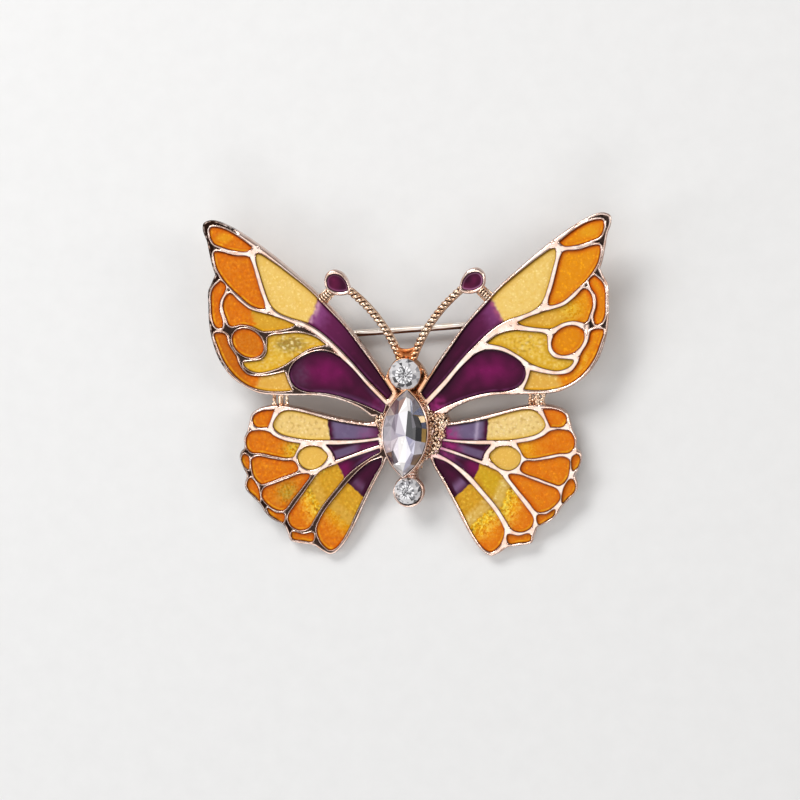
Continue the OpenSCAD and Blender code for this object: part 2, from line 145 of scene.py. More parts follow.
def outlines(nodes, z, level=0.02, weld=0.006):
    """Closed outlines of all the flat faces at height z, counter-clockwise round metal or fill."""
    points, tris, count = [], [], 0
    for node in nodes:
        p, t = cad(node)
        tris.append(t[np.abs(p[t][:, :, 2] - z).max(axis=1) < level] + count)
        points.append(p)
        count += len(p)
    points, tris = np.concatenate(points)[:, :2], np.concatenate(tris)
    used = np.unique(tris)
    tree = tree_of(points[used])
    same = {}
    for i in used:
        if i not in same:
            for _, j, _ in tree.find_range((points[i][0], points[i][1], 0), weld):
                same.setdefault(used[j], int(i))
    edges = set()
    for t in tris:
        a, b, c = points[t]
        area = (b[0] - a[0]) * (c[1] - a[1]) - (b[1] - a[1]) * (c[0] - a[0])
        for e in pairs([same[i] for i in (t if area > 0 else t[::-1])]):
            if e[::-1] in edges:
                edges.remove(e[::-1])
            elif e[0] != e[1]:
                edges.add(e)
    after = {}
    for a, b in sorted(edges):
        after.setdefault(a, []).append(b)
    loops = []
    while after:
        start = at = next(iter(after))
        loop = []
        while at in after and not (loop and at == start):
            loop.append(at)
            to = after[at].pop()
            if not after[at]:
                del after[at]
            at = to
        if len(loop) > 2:
            loops.append(points[loop])
    return loops


def clean(loop, least=0.02):
    """The loop without points that lie closer to the one before than least."""
    keep = [loop[0]]
    for p in loop[1:]:
        if np.linalg.norm(p - keep[-1]) > least:
            keep.append(p)
    if np.linalg.norm(keep[0] - keep[-1]) <= least:
        keep.pop()
    return np.array(keep)


def smooth(loop, step=0.1, corner=math.radians(36)):
    """A closed loop resampled along a smooth curve through its points, with its corners kept."""
    p = clean(np.asarray(loop, float))
    before, after = p - np.roll(p, 1, 0), np.roll(p, -1, 0) - p
    lb, la = np.linalg.norm(before, axis=1), np.linalg.norm(after, axis=1)
    cos = np.clip((before * after).sum(1) / (lb * la), -1, 1)
    sharp = (np.arccos(cos) > corner)[:, None]
    mean = (before + after) / (lb + la)[:, None]
    leave = np.where(sharp, after, mean * la[:, None])
    reach = np.where(sharp, before, mean * lb[:, None])
    out = []
    for i in range(len(p)):
        j = (i + 1) % len(p)
        n = max(1, math.ceil(la[i] / step))
        for k in range(n):
            t = k / n
            out.append((2 * t ** 3 - 3 * t ** 2 + 1) * p[i] + (t ** 3 - 2 * t ** 2 + t) * leave[i]
                       + (3 * t ** 2 - 2 * t ** 3) * p[j] + (t ** 3 - t ** 2) * reach[j])
    return np.array(out)


def dense(loop, step=0.03):
    """The loop with points at most step apart."""
    out = []
    for a, b in pairs(loop):
        n = max(1, math.ceil(np.linalg.norm(b - a) / step))
        out.extend(a + (b - a) * k / n for k in range(n))
    return np.array(out)


def signed_area(loop):
    x, y = loop[:, 0], loop[:, 1]
    return 0.5 * float((x * np.roll(y, -1) - y * np.roll(x, -1)).sum())


def left_normals(loop):
    d = np.roll(loop, -1, 0) - np.roll(loop, 1, 0)
    d /= np.maximum(np.linalg.norm(d, axis=1), 1e-9)[:, None]
    return np.stack([-d[:, 1], d[:, 0]], 1)


def inset(loop, by):
    return loop + left_normals(loop) * by


def thin_out(points, cell):
    """The first point of every square cell."""
    first = {}
    for p in points:
        first.setdefault((round(p[0] / cell), round(p[1] / cell)), p)
    return list(first.values())


def hexagons(loop_points, spacing):
    """Points of a hexagonal grid over the box round a loop."""
    lo, hi = loop_points.min(0), loop_points.max(0)
    out, row, y = [], 0, lo[1]
    while y < hi[1]:
        x = lo[0] + (spacing / 2 if row % 2 else 0)
        while x < hi[0]:
            out.append((x, y))
            x += spacing
        y += spacing * 0.866
        row += 1
    return np.array(out)


def inside(points, loops):
    """Even-odd test of many points against closed loops."""
    points = np.asarray(points, float)
    odd = np.zeros(len(points), bool)
    for loop in loops:
        # only the points level with the loop and left of its right end can change
        (_, low), (right, high) = loop.min(0), loop.max(0)
        x, y = points[:, 0], points[:, 1]
        near = np.flatnonzero((y > low) & (y <= high) & (x <= right))
        x, y = points[near].T
        for a, b in pairs(loop):
            hit = (y > min(a[1], b[1])) & (y <= max(a[1], b[1]))
            if hit.any():
                cross = a[0] + (y[hit] - a[1]) * (b[0] - a[0]) / (b[1] - a[1])
                odd[near[hit][cross > x[hit]]] ^= True
    return odd


def triangulate(loops, inner):
    """Points and triangles of the area between the loops, with the inner points that are in it."""
    verts, edges = [Vector(p[:2]) for loop in loops for p in loop], []
    for loop in loops:
        n = len(edges)
        edges.extend((n + i, n + (i + 1) % len(loop)) for i in range(len(loop)))
    verts.extend(Vector(p[:2]) for p in inner)
    points, _, faces, *_ = delaunay_2d_cdt(verts, edges, [], 1, 1e-6)
    points, faces = np.array([p[:2] for p in points]), np.array(faces)
    if len(loops) > 1:
        faces = faces[inside(points[faces].mean(1), loops)]
    used, faces = np.unique(faces, return_inverse=True)
    return points[used], faces.reshape(-1, 3).tolist()


def ground(loops, spacing, *clear):
    """A hexagonal grid inside the loops, kept clear of trees by distances: (tree, distance)."""
    grid = hexagons(np.concatenate(loops), spacing)
    grid = grid[inside(grid, loops)]
    for tree, least in clear:
        grid = grid[distance(grid, tree) > least]
    return grid


def at_height(points, z):
    """Points in the plane made 3D, with one height for all or one each."""
    return np.c_[points, np.broadcast_to(z, len(points))]


# ---------------------------------------------------------------- making pieces
def put(name, data):
    """A new object in the scene."""
    ob = bpy.data.objects.new(name, data)
    bpy.context.scene.collection.objects.link(ob)
    return ob


def piece(name, points, faces, material, slot, body="brooch", colors=None, flat=False,
          stands_for=(), **floats):
    """One visual piece from points in the wing plane's frame. floats are named attributes."""
    mesh = bpy.data.meshes.new(name)
    mesh.from_pydata(world(points).tolist(), [], [tuple(f) for f in faces])
    mesh.validate()
    if colors is not None:
        layer = mesh.color_attributes.new("Tint", "FLOAT_COLOR", "POINT")
        rgba = np.ones((len(points), 4), np.float32)
        rgba[:, :3] = colors
        layer.data.foreach_set("color", rgba.ravel())
    for key, values in floats.items():
        layer = mesh.attributes.new(key.capitalize(), "FLOAT", "POINT")
        layer.data.foreach_set("value", np.asarray(values, np.float32))
    mesh.materials.append(material)
    mesh.update()
    if not flat:
        mesh.polygons.foreach_set("use_smooth", [True] * len(mesh.polygons))
    ob = put(name, mesh)
    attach(ob, body)
    if stands_for:
        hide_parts(*stands_for)


class Build:
    """Collects parts of one piece: points in millimetres, faces, and tarnish with painted shade."""

    def __init__(self):
        self.points, self.faces, self.patina = [], [], []

    def add(self, points, faces, patina=0.0):
        n = len(self.points)
        self.points += [tuple(p) for p in points]
        self.faces += [tuple(i + n for i in f) for f in faces]
        self.patina += list(np.broadcast_to(patina, len(points)))

    def lid(self, points, faces, z, patina):
        """An underside at height z, from the faces of the top side turned over."""
        self.add(at_height(points, z), [f[::-1] for f in faces], patina)

    def rings(self, rings, caps=(False, False), patina=0.0):
        """Joins closed rings of equal length into a skin."""
        m = len(rings[0])
        faces = [(n + k, n + (k + 1) % m, n + m + (k + 1) % m, n + m + k)
                 for n in range(0, (len(rings) - 1) * m, m) for k in range(m)]
        if caps[0]:
            faces.append(range(m - 1, -1, -1))
        if caps[1]:
            faces.append(range((len(rings) - 1) * m, len(rings) * m))
        if np.ndim(patina) and len(patina) == len(rings):
            patina = np.repeat(patina, m)
        self.add([p for ring in rings for p in ring], faces, patina)

    def lathe(self, at, rows, steps=64):
        """Turns rows of (radius, height, tarnish and painted shade) about the local vertical
        through at.
        """
        turn = [TAU * k / steps for k in range(steps)]
        self.rings([[(at[0] + r * math.cos(a), at[1] + r * math.sin(a), z) for a in turn]
                    for r, z, _ in rows], patina=[row[2] for row in rows])

    def tube(self, path, radius, sides=12, patina=0.0, caps=(True, True)):
        """A round tube along a path of 3D points. radius may change along it."""
        path = np.asarray(path, float)
        way = np.gradient(path, axis=0)
        way /= np.linalg.norm(way, axis=1)[:, None]
        side = np.cross(way[0], (0, 0, 1) if abs(way[0][2]) < 0.9 else (1, 0, 0))
        turn = [TAU * k / sides for k in range(sides)]
        rings = []
        for p, w, r in zip(path, way, np.broadcast_to(radius, len(path))):
            side = side - w * (side @ w)
            side /= np.linalg.norm(side)
            up = np.cross(w, side)
            rings.append([p + r * (side * math.cos(a) + up * math.sin(a)) for a in turn])
        self.rings(rings, caps, patina)

    def lump(self, at, r, squash, seed, patina, rows=7, cols=12):
        """A small uneven bead, cut off just short of its poles."""
        rings = []
        for i in range(rows + 1):
            v = math.pi * (i + 0.02) / (rows + 0.04)
            ring = []
            for k in range(cols):
                u = TAU * k / cols
                d = Vector((math.sin(v) * math.cos(u), math.sin(v) * math.sin(u), math.cos(v)))
                s = r * (1 + 0.16 * noise.noise(d * 1.7 + Vector((seed, seed * 0.7, 0))))
                ring.append((at[0] + d.x * s, at[1] + d.y * s, at[2] + d.z * s * squash))
            rings.append(ring)
        self.rings(rings[::-1], (True, True), patina)

    def make(self, name, material, **more):
        """One piece of metal, warmer in tone close to the head."""
        points = np.array(self.points)
        warm = ease(4.6, 2.2, np.hypot(points[:, 0], points[:, 1] - 1.2))
        piece(name, points, self.faces, material, "rose_gold", patina=self.patina, warm=warm,
              **more)


# ---------------------------------------------------------------- materials
class Shader:
    """A material being made: one Principled shader, and textures in object space that feed it."""

    def __init__(self, name, **sockets):
        self.material = bpy.data.materials.new(name)
        self.material.use_nodes = True
        self.nodes, self.links = self.material.node_tree.nodes, self.material.node_tree.links
        self.nodes.clear()
        out = self.nodes.new("ShaderNodeOutputMaterial")
        self.bsdf = self.nodes.new("ShaderNodeBsdfPrincipled")
        self.links.new(self.bsdf.outputs[0], out.inputs[0])
        self.coords = self.nodes.new("ShaderNodeTexCoord")
        for socket, value in sockets.items():
            self.bsdf.inputs[socket.replace("_", " ")].default_value = value

    def feed(self, socket, output):
        self.links.new(output, self.bsdf.inputs[socket])

    def attribute(self, name):
        node = self.nodes.new("ShaderNodeAttribute")
        node.attribute_name = name
        return node.outputs["Color" if name == "Tint" else "Fac"]

    def texture(self, kind, scale, detail=2.0, roughness=0.5):
        node = self.nodes.new("ShaderNodeTex" + kind)
        for socket, value in (("Scale", scale), ("Detail", detail), ("Roughness", roughness)):
            if socket in node.inputs:
                node.inputs[socket].default_value = value
        self.links.new(self.coords.outputs["Object"], node.inputs["Vector"])
        return node

    def ramp(self, source, *stops):
        node = self.nodes.new("ShaderNodeValToRGB")
        self.links.new(source, node.inputs[0])
        ends = node.color_ramp.elements
        for end, (position, color) in zip(ends, (stops[0], stops[-1])):
            end.position, end.color = position, (*color, 1)
        for position, color in stops[1:-1]:
            ends.new(position).color = (*color, 1)
        return node.outputs[0]

    def mix(self, factor, a, b, kind="MIX"):
        node = self.nodes.new("ShaderNodeMix")
        node.data_type, node.blend_type = "RGBA", kind
        for socket, value in zip((node.inputs[0], node.inputs[6], node.inputs[7]), (factor, a, b)):
            if isinstance(value, bpy.types.NodeSocket):
                self.links.new(value, socket)
            else:
                socket.default_value = value if isinstance(value, float) else (*value, 1)
        return node.outputs[2]

    def bump(self, height, strength, distance_mm, after=None):
        node = self.nodes.new("ShaderNodeBump")
        node.inputs["Strength"].default_value = strength
        node.inputs["Distance"].default_value = distance_mm * MM
        self.links.new(height, node.inputs["Height"])
        if after is not None:
            self.links.new(after, node.inputs["Normal"])
        return node.outputs[0]


def gold_material(name, light, deep, dark, rough=(0.16, 0.32), grain=0.25, under=None):
    """Rose-gold plating: uneven tone, fine polish marks, and dark tarnish with painted shade in the
    recesses.
    """
    s = Shader(name, Metallic=1.0)
    tone = s.texture("Noise", 900, 4, 0.6).outputs[0]
    fine = s.texture("Noise", 6000, 3, 0.7).outputs[0]
    coarse = s.texture("Noise", 2600).outputs[0]
    color = s.ramp(tone, (0.32, deep), (0.62, light))
    warm = s.ramp(s.attribute("Warm"), (0, (0, 0, 0)), (1, (0.65, 0.65, 0.65)))
    color = s.mix(warm, color, srgb(230, 162, 98))
    color = s.mix(s.attribute("Smear"), color, srgb(176, 84, 140))
    # tarnish on the metal, with painted shade in its recesses, crevices and walls
    color = s.mix(s.attribute("Patina"), color, dark)
    if under is not None:
        # painted shade: darker on the side that faces away from the light
        facing_light = s.nodes.new("ShaderNodeVectorMath")
        facing_light.operation = "DOT_PRODUCT"
        facing_light.inputs[1].default_value = (0, 0.5, 0.87)
        s.links.new(s.coords.outputs["Normal"], facing_light.inputs[0])
        in_shade = s.ramp(facing_light.outputs["Value"], (0.45, (1, 1, 1)), (0.8, (0, 0, 0)))
        color = s.mix(in_shade, color, under)
    s.feed("Base Color", color)
    spread = s.nodes.new("ShaderNodeMapRange")
    spread.inputs["To Min"].default_value, spread.inputs["To Max"].default_value = rough
    s.links.new(fine, spread.inputs["Value"])
    s.feed("Roughness", spread.outputs[0])
    s.feed("Normal", s.bump(fine, grain, 0.006, s.bump(coarse, grain, 0.03)))
    return s.material


def enamel_material(name, grain_scale, relief_depth, glint, hollow):
    """Clear glossy enamel over a hammered ground. The cell's colour, with its painted shade and
    reflections, is in the mesh.
    """
    s = Shader(name, Roughness=0.4, Specular_IOR_Level=0.02, Coat_Weight=0.3,
               Coat_Roughness=0.03, Coat_IOR=1.32)
    cells = s.texture("Voronoi", grain_scale)
    cells.feature = "SMOOTH_F1"
    soft = s.texture("Noise", grain_scale * 0.45, 3, 0.6)
    ground = s.mix(0.5, cells.outputs["Distance"], soft.outputs[0])
    # painted glints and shade of the hammered ground, following its bumps
    shade = s.ramp(ground, (0.22, glint), (0.36, (1, 1, 1)), (0.58, hollow))
    color = s.mix(1.0, s.attribute("Tint"), shade, "MULTIPLY")
    # loose glitter under the enamel, where the mesh asks for it
    flakes = s.texture("Voronoi", 4200).outputs["Color"]
    flake = s.ramp(flakes, (0.14, (0.05, 0.028, 0.0)), (0.36, (0.40, 0.17, 0.0)),
                   (0.6, (0.80, 0.40, 0.003)), (0.84, (0.96, 0.56, 0.01)),
                   (0.97, (1.0, 0.80, 0.10)))
    s.feed("Base Color", s.mix(s.attribute("Glitter"), color, flake))
    s.feed("Normal", s.bump(ground, relief_depth, 0.05))
    return s.material


def crystal_material(name):
    """Foiled crystal: each facet's tint is a painted reflection, its own share of the light, under
    clear glass with a high polish.
    """
    s = Shader(name, Metallic=0.25, Roughness=0.15, Coat_Weight=1.0, Coat_Roughness=0.01,
               Coat_IOR=1.55)
    # painted streaks of brighter and darker reflection across the facets
    streak = s.texture("Voronoi", 1500).outputs["Distance"]
    lift = s.ramp(streak, (0.1, (1.15, 1.14, 1.14)), (0.7, (0.84, 0.84, 0.86)))
    s.feed("Base Color", s.mix(1.0, s.attribute("Tint"), lift, "MULTIPLY"))
    return s.material


ROSE_LIGHT, ROSE_DEEP, SHADE_AND_TARNISH = srgb(250, 226, 214), srgb(230, 188, 166), srgb(34, 19, 13)
GOLD = gold_material("rose_gold", ROSE_LIGHT, ROSE_DEEP, SHADE_AND_TARNISH)
GRAIN_GOLD = gold_material("rose_gold_cast", srgb(252, 226, 200), srgb(216, 164, 126), SHADE_AND_TARNISH,
                           rough=(0.14, 0.32), grain=0.6)
WEB_GOLD = gold_material("rose_gold_matte", srgb(222, 120, 72), srgb(180, 74, 40),
                         srgb(84, 30, 14), rough=(0.34, 0.5), grain=0.5)
PIN_GOLD = gold_material("pin_gold", srgb(255, 247, 238), srgb(246, 230, 214), SHADE_AND_TARNISH,
                         rough=(0.26, 0.36), grain=0.12, under=srgb(120, 76, 56))
ORANGE_ENAMEL = enamel_material("enamel_orange", 2700, 0.3, (1.14, 1.7, 3.5), (0.78, 0.62, 0.38))
YELLOW_ENAMEL = enamel_material("enamel_yellow", 3400, 0.3, (1.12, 1.2, 1.7), (0.84, 0.75, 0.52))
PURPLE_ENAMEL = enamel_material("enamel_purple", 1500, 0.1, (1.15, 1.1, 1.15), (0.85, 0.8, 0.85))
CRYSTAL = crystal_material("crystal")

# ---------------------------------------------------------------- outlines of the whole brooch
FILLS = sorted(n for n in frame["nodes"] if n.endswith("_enamel"))
WING_FILLS = [n for n in FILLS if "antenna" not in n]
FILL_LOOPS = {n: outlines([n], LOOP_ENAMEL_Z if "antenna" in n else ENAMEL_Z) for n in FILLS}
SILHOUETTE = [smooth(loop) for loop in outlines(["casting"], 0.0)]
# On the viewer's left these small cells have rims of their own, with dark gaps between them.
# Elsewhere the metal between the cells is solid.
GAPPED = ("crescent", "flame", "eye", "swirl", "lower_band", "teardrop", "outer_1", "outer_2",
          "outer_3", "long", "chips")
THIN_RIM, SOLID_RIM = 0.10, 0.6
# How far the rounded edge, the rims' edge and the floor between rims lie below the top
EDGE_DROP, RIM_DROP, GAP_DROP = 0.34, 0.19, 0.24


def lap(node):
    """How far the enamel laps over the foot of its rim, in millimetres."""
    return 0.10 if "antenna" in node else 0.085 if node.startswith("right_hind") else 0.05


def owner(loop):
    """The enamel whose outline is nearest to a cell's outline."""
    return min(WING_FILLS, key=lambda n: np.linalg.norm(
        np.concatenate(FILL_LOOPS[n])[:, None] - loop[None, ::6], axis=2).min(1).mean())


CELLS, RIM_WIDTHS = [], []
for loop in outlines(WING_FILLS, ENAMEL_Z):
    loop = smooth(loop)
    node = owner(loop)
    CELLS.append(inset(loop, -lap(node)))
    thin = node.startswith("left") and any(g in node for g in GAPPED)
    RIM_WIDTHS.append(THIN_RIM if thin else SOLID_RIM)


def painted_dark_left_edges(points):
    """The outer edges on the viewer's left, painted dark for the dark reflections they show."""
    x, y = points[:, 0], points[:, 1]
    fore = ease(-20.2, -21.0, x - 0.12 * (y - 8)) * ease(-1.0, 0.6, y)
    hind = ease(-13.8, -14.8, x) * ease(-6.0, -7.2, y) * ease(-17.4, -16.4, y)
    return (0.85 * fore + 0.6 * hind) * np.clip(0.75 + 0.9 * wobble(points, 0.35, 6.0), 0, 1)


def stepped_edge(points, z, d_cell, d_edge):
    """The outer edge of a forewing lies lower, on the viewer's right with a rim down there."""
    x, y = points[:, 0], points[:, 1]
    zone = ease(19.9, 21.0, np.abs(x) + 0.12 * (y - 8)) * ease(-1.0, 0.6, y)
    ridge = WING_TOP - 0.16 - 0.14 * round_off(1 - np.abs(d_edge - 0.16) / 0.17) \
        - 0.3 * (1 - ease(-1, 1, x))
    cell_rim = WING_TOP - 0.03 - 0.16 * round_off(d_cell / 0.15) \
        - 0.3 * ease(0.2, 0.3, d_cell)
    return z + zone * (np.maximum(np.maximum(ridge, cell_rim), WING_TOP - 0.36) - z)


def lumpy(points, d_edge):
    """Uneven edges near the body."""
    near = ease(11.5, 6.0, np.abs(points[:, 0])) * ease(0.5, 0.12, d_edge)
    return 0.055 * near * wobble(points, 0.28, 3.0) * ease(0.0, 0.1, d_edge)


# Distances from an outline at which the relief has rings of points, and the grid beyond them
RELIEF_RINGS = (0.04, 0.09, 0.15, 0.22, 0.3, 0.38, 0.46, 0.56, 0.7)
RELIEF_GRID, GRID_CLEAR = 0.22, 0.6
# How wide the rounding of the outer edge is, and that of a rim at most
RIM_ROUND = 0.26


def relief(silhouette, cells, widths, top, wings=False):
    """The metal between the cells and round them: points, triangles, tarnish with painted shade,
    and edge tree.
    """
    edge_tree = tree_of(np.concatenate([dense(s) for s in silhouette]))
    cell_tree = tree_of(np.concatenate([dense(c) for c in cells]))
    extra = []
    for loops, turn, own, other in ((silhouette, 1, edge_tree, cell_tree),
                                    (cells, -1, cell_tree, edge_tree)):
        for loop in loops:
            for d in RELIEF_RINGS:
                moved = inset(loop, turn * d)
                clear = (distance(moved, own) > d - 0.012) & (distance(moved, other) > 0.03)
                extra.extend(moved[clear])
    grid = ground(silhouette + cells, RELIEF_GRID, (edge_tree, GRID_CLEAR),
                  (cell_tree, GRID_CLEAR))
    points, faces = triangulate(silhouette + cells, thin_out(extra, 0.042) + thin_out(grid, 0.15))
    d_edge, d_cell = distance(points, edge_tree), distance(points, cell_tree)
    z = np.full(len(points), top - GAP_DROP)
    for loop, width in zip(cells, widths):
        lo, hi = loop.min(0) - 1.5, loop.max(0) + 1.5
        near = np.flatnonzero(((points > lo) & (points < hi)).all(1))
        if len(near):
            d = distance(points[near], tree_of(dense(loop, 0.04)))
            rim = top - RIM_DROP * round_off(d / min(width, RIM_ROUND))
            fall = 0.14 if width > 0.2 else 0.08
            rim -= GAP_DROP * ease(width, width + fall, d)
            z[near] = np.maximum(z[near], rim)
    z = z + ease(0.9, 1.3, d_cell) * (top - 0.05 - z)
    if wings:
        z = stepped_edge(points, z, d_cell, d_edge)
    z = np.minimum(z, top - EDGE_DROP * round_off(d_edge / RIM_ROUND))
    z += 0.010 * wobble(points, 0.7) * ease(0, 0.15, np.minimum(d_cell, d_edge))
    if wings:
        z += lumpy(points, d_edge)
    # tarnish with painted shade: the floor between the rims, the foot of each rim at its cell and
    # the outer edge are darker, and so are the edges on the viewer's left
    groove = ease(top - 0.10, top - GAP_DROP, z) * ease(0.13, 0.24, d_edge) \
        * ease(0.07, 0.14, d_cell)
    patina = 0.92 * groove + 0.8 * bell(d_cell, 0.06) + 0.45 * bell(d_edge, 0.07)
    patina += painted_dark_left_edges(points) * ease(0.12, 0.2, d_cell) * ease(0.6, 0.4, d_edge)
    return at_height(points, z), faces, np.clip(1.06 * patina, 0, 1), edge_tree


def skirt(build, loop, z_top, z_low, patina):
    """The outer wall down from a loop, with its lower edge rounded inwards."""
    foot = 0.12
    levels = [(0.0, z_top), (0.0, z_low + 0.35), (0.0, z_low + foot)]
    levels += [(foot * (1 - math.cos(a)), z_low + foot * (1 - math.sin(a)))
               for a in (0.4, 0.8, 1.2, math.pi / 2)]
    build.rings([at_height(inset(loop, d), z) for d, z in levels[::-1]],
                patina=np.tile(patina, len(levels)) if np.ndim(patina) else patina)


def cell_wall(build, loop, z_top, z_low, patina):
    """The wall down from a rim into its cell."""
    build.rings([at_height(loop, z) for z in (z_top, z_low + 0.35, z_low)], patina=patina)


casting = Build()
points, faces, patina, edge_tree = relief(SILHOUETTE, CELLS, RIM_WIDTHS, WING_TOP, wings=True)
casting.add(points, faces, patina)
# the walls down into the cells are painted dark for shade
for loop in CELLS:
    cell_wall(casting, loop, WING_TOP - RIM_DROP, ENAMEL_Z - 0.2, 0.8)
# the outer walls are painted darker for shade, more so on the viewer's left
for loop in SILHOUETTE:
    skirt(casting, loop, WING_TOP - EDGE_DROP, 0.0, 0.22 + 0.7 * painted_dark_left_edges(loop))
# purple enamel smeared over the roots of the veins on the viewer's right
metal = np.array(casting.points)
smear = 0.85 * bell(metal[:, 0] - 3.8, 1.2) * bell(metal[:, 1] + 6.9, 1.6)
smear *= np.clip(0.75 + 0.8 * wobble(metal, 0.5, 8.0), 0, 1)
casting.make("casting_wings", GOLD, stands_for=("casting",), smear=smear)

# The back: flat round its edge and under the findings, a little hollow elsewhere
border = [clean(inset(loop, 0.12), 0.05) for loop in SILHOUETTE]
points, faces = triangulate(border, thin_out(ground(SILHOUETTE, 0.45, (edge_tree, 0.3)), 0.2))
depth = distance(points, edge_tree)
from_finding = np.min([np.linalg.norm(points - local(JOINTS[name]["pos_m"])[:2], axis=1)
                       for name in ("pin_hinge", "roller_turn")], axis=0)
lift = 0.10 * ease(0.55, 0.95, depth) * ease(2.9, 3.6, from_finding)
lift += 0.006 * wobble(points, 1.1, 5.0) * ease(0.3, 0.6, depth)
casting_back = Build()
casting_back.lid(points, faces, np.maximum(lift, 0),
                 0.3 * ease(0.5, 0.7, depth) * ease(1.3, 0.9, depth))
casting_back.make("casting_back", GRAIN_GOLD)

# ---------------------------------------------------------------- enamel
ORANGE, ORANGE_DEEP, AMBER = srgb(238, 130, 2), srgb(226, 104, 1), srgb(244, 164, 10)
YELLOW, PALE, OLIVE = srgb(232, 186, 58), srgb(246, 214, 138), srgb(208, 164, 40)
# plum enamel, and the grey-lilac of the painted reflections on it
PLUM, PLUM_DARK, REFLECTED_GREY = srgb(88, 12, 58), srgb(58, 4, 38), srgb(122, 108, 140)
# Cells where a purple and a warm fill meet along a ragged line
RUNS = ("leading", "top", "long_1", "long_2")


def blend(a, b, t):
    t = np.asarray(t, float)[:, None]
    return a * (1 - t) + b * t


def paint(color, *layers):
    """Lays colours over each other: (srgb tone, amount at each point)."""
    for tone, amount in layers:
        color = blend(color, srgb(*tone), amount)
    return color


def spot(x, y, at, size):
    """A soft oval spot: 1 in its middle, fading outwards."""
    return bell(x - at[0], size[0]) * bell(y - at[1], size[1])


# The two functions below colour one fill each: what it is, its points p, their distance d from
# the rim, their distance s past the cell's meeting line (away from the body), and its side.
def purple(what, p, d, s, right):
    """Plum enamel, with the painted pink light by the body and the painted soft grey reflections of
    some cells.
    """
    x, y = np.abs(p[:, 0]), p[:, 1]
    n, fine = wobble(p, 1.1, 2.0), wobble(p, 0.45, 7.0)
    color = blend(PLUM_DARK, PLUM, np.clip(ease(0.1, 1.4, d) * (0.6 + 0.7 * n), 0, 1))
    if what == "leading":
        deep = 0.7 * ease(-6.0, -1.0, s) if right else 0.9 * ease(-7.5, -2.0, s)
        # painted lilac sheen towards the meeting line, paler right along it
        light = ease(-2.6, -0.5, s + 0.3 * fine) * ease(0.1, 0.5, d)
        border_sheen = bell(s + 0.2, 0.34) * ease(0.1, 0.3, d) * np.clip(0.7 + fine, 0, 1)
        color = paint(color, ((104, 30, 78), deep),
                      ((146, 74, 132), (0.6 if right else 0.8) * light),
                      ((196, 104, 124) if right else (222, 172, 190), 0.75 * border_sheen))
    elif what == "teardrop":
        glow = spot(x, y, (9.4, 1.7), (2.6, 1.4)) * np.clip(0.8 + 0.4 * n, 0, 1)
        color = paint(color, ((122, 14, 84), glow))
        if not right:
            # painted grey reflection at the outer end, and a lilac one along the lower rim
            patch = spot(x, y, (12.3, 1.3), (0.9, 1.3)) * (0.7 + 0.5 * fine)
            lower = ease(0.7, 0.2, d) * ease(0.5, -1.0, y) * ease(12, 8, x)
            color = paint(color, ((98, 74, 98), 0.55 * patch), ((108, 70, 110), 0.35 * lower))
    elif what == "top":
        # painted grey reflection near the meeting line; on the right a painted light band runs
        # through it
        painted_reflection = ease(-0.2, -0.9, s + 0.1 * fine) * ease(-6.2, -4.4, s)
        painted_reflection *= ease(0.02, 0.25, d)
        color = blend(color, REFLECTED_GREY * (1 + 0.1 * n)[:, None], 0.85 * painted_reflection)
        if right:
            color = paint(color, ((186, 172, 196), 0.8 * bell(s + 1.25 + 0.06 * fine, 0.22)))
    elif what == "wedge":
        # painted grey reflection across the lower middle
        painted_reflection = ease(5.2, 6.4, x) * ease(0.05, 0.25, d)
        painted_reflection *= ease(0.15, -0.2, y + 7.05 + 0.3 * (x - 7))
        color = paint(color, ((116, 98, 130), 0.8 * painted_reflection))
    elif what == "long_1":
        # painted grey reflection near the rim
        painted_reflection = 0.5 * ease(0.55, 0.2, d) * ease(-1, -3, s)
        color = paint(color, ((134, 14, 88), ease(-2.4, -0.4, s) * (0.55 + 0.4 * n)),
                      ((92, 66, 100), painted_reflection))
    elif what == "long_2":
        # painted lilac highlight along the meeting line
        painted_reflection = bell(s + 0.75, 0.5) * ease(0.3, 0.6, d)
        color = paint(color, ((150, 118, 158), (0.6 if right else 0.25) * painted_reflection))
    elif what == "antenna":
        shine = ease(0.22, 0.12, d) * ease(0.03, 0.09, d)
        color = paint(color, ((108, 26, 66), np.clip(0.4 + 0.8 * n, 0, 0.9)),
                      ((184, 124, 156), (0.8 if right else 0.35) * shine))
    # painted pink light by the body
    end = sum(ease(far, near, np.hypot(x - at_x, y - at_y)) for far, near, at_x, at_y in
              ((3.0, 0.6, 3.6, -5.2), (2.2, 0.5, 3.0, -2.6), (2.4, 0.6, 4.6, -7.0)))
    pink = np.clip(end * (0.6 + 0.6 * fine), 0, 0.85)
    return paint(color, ((176, 48, 128), (0.9 if right else 0.3) * pink))


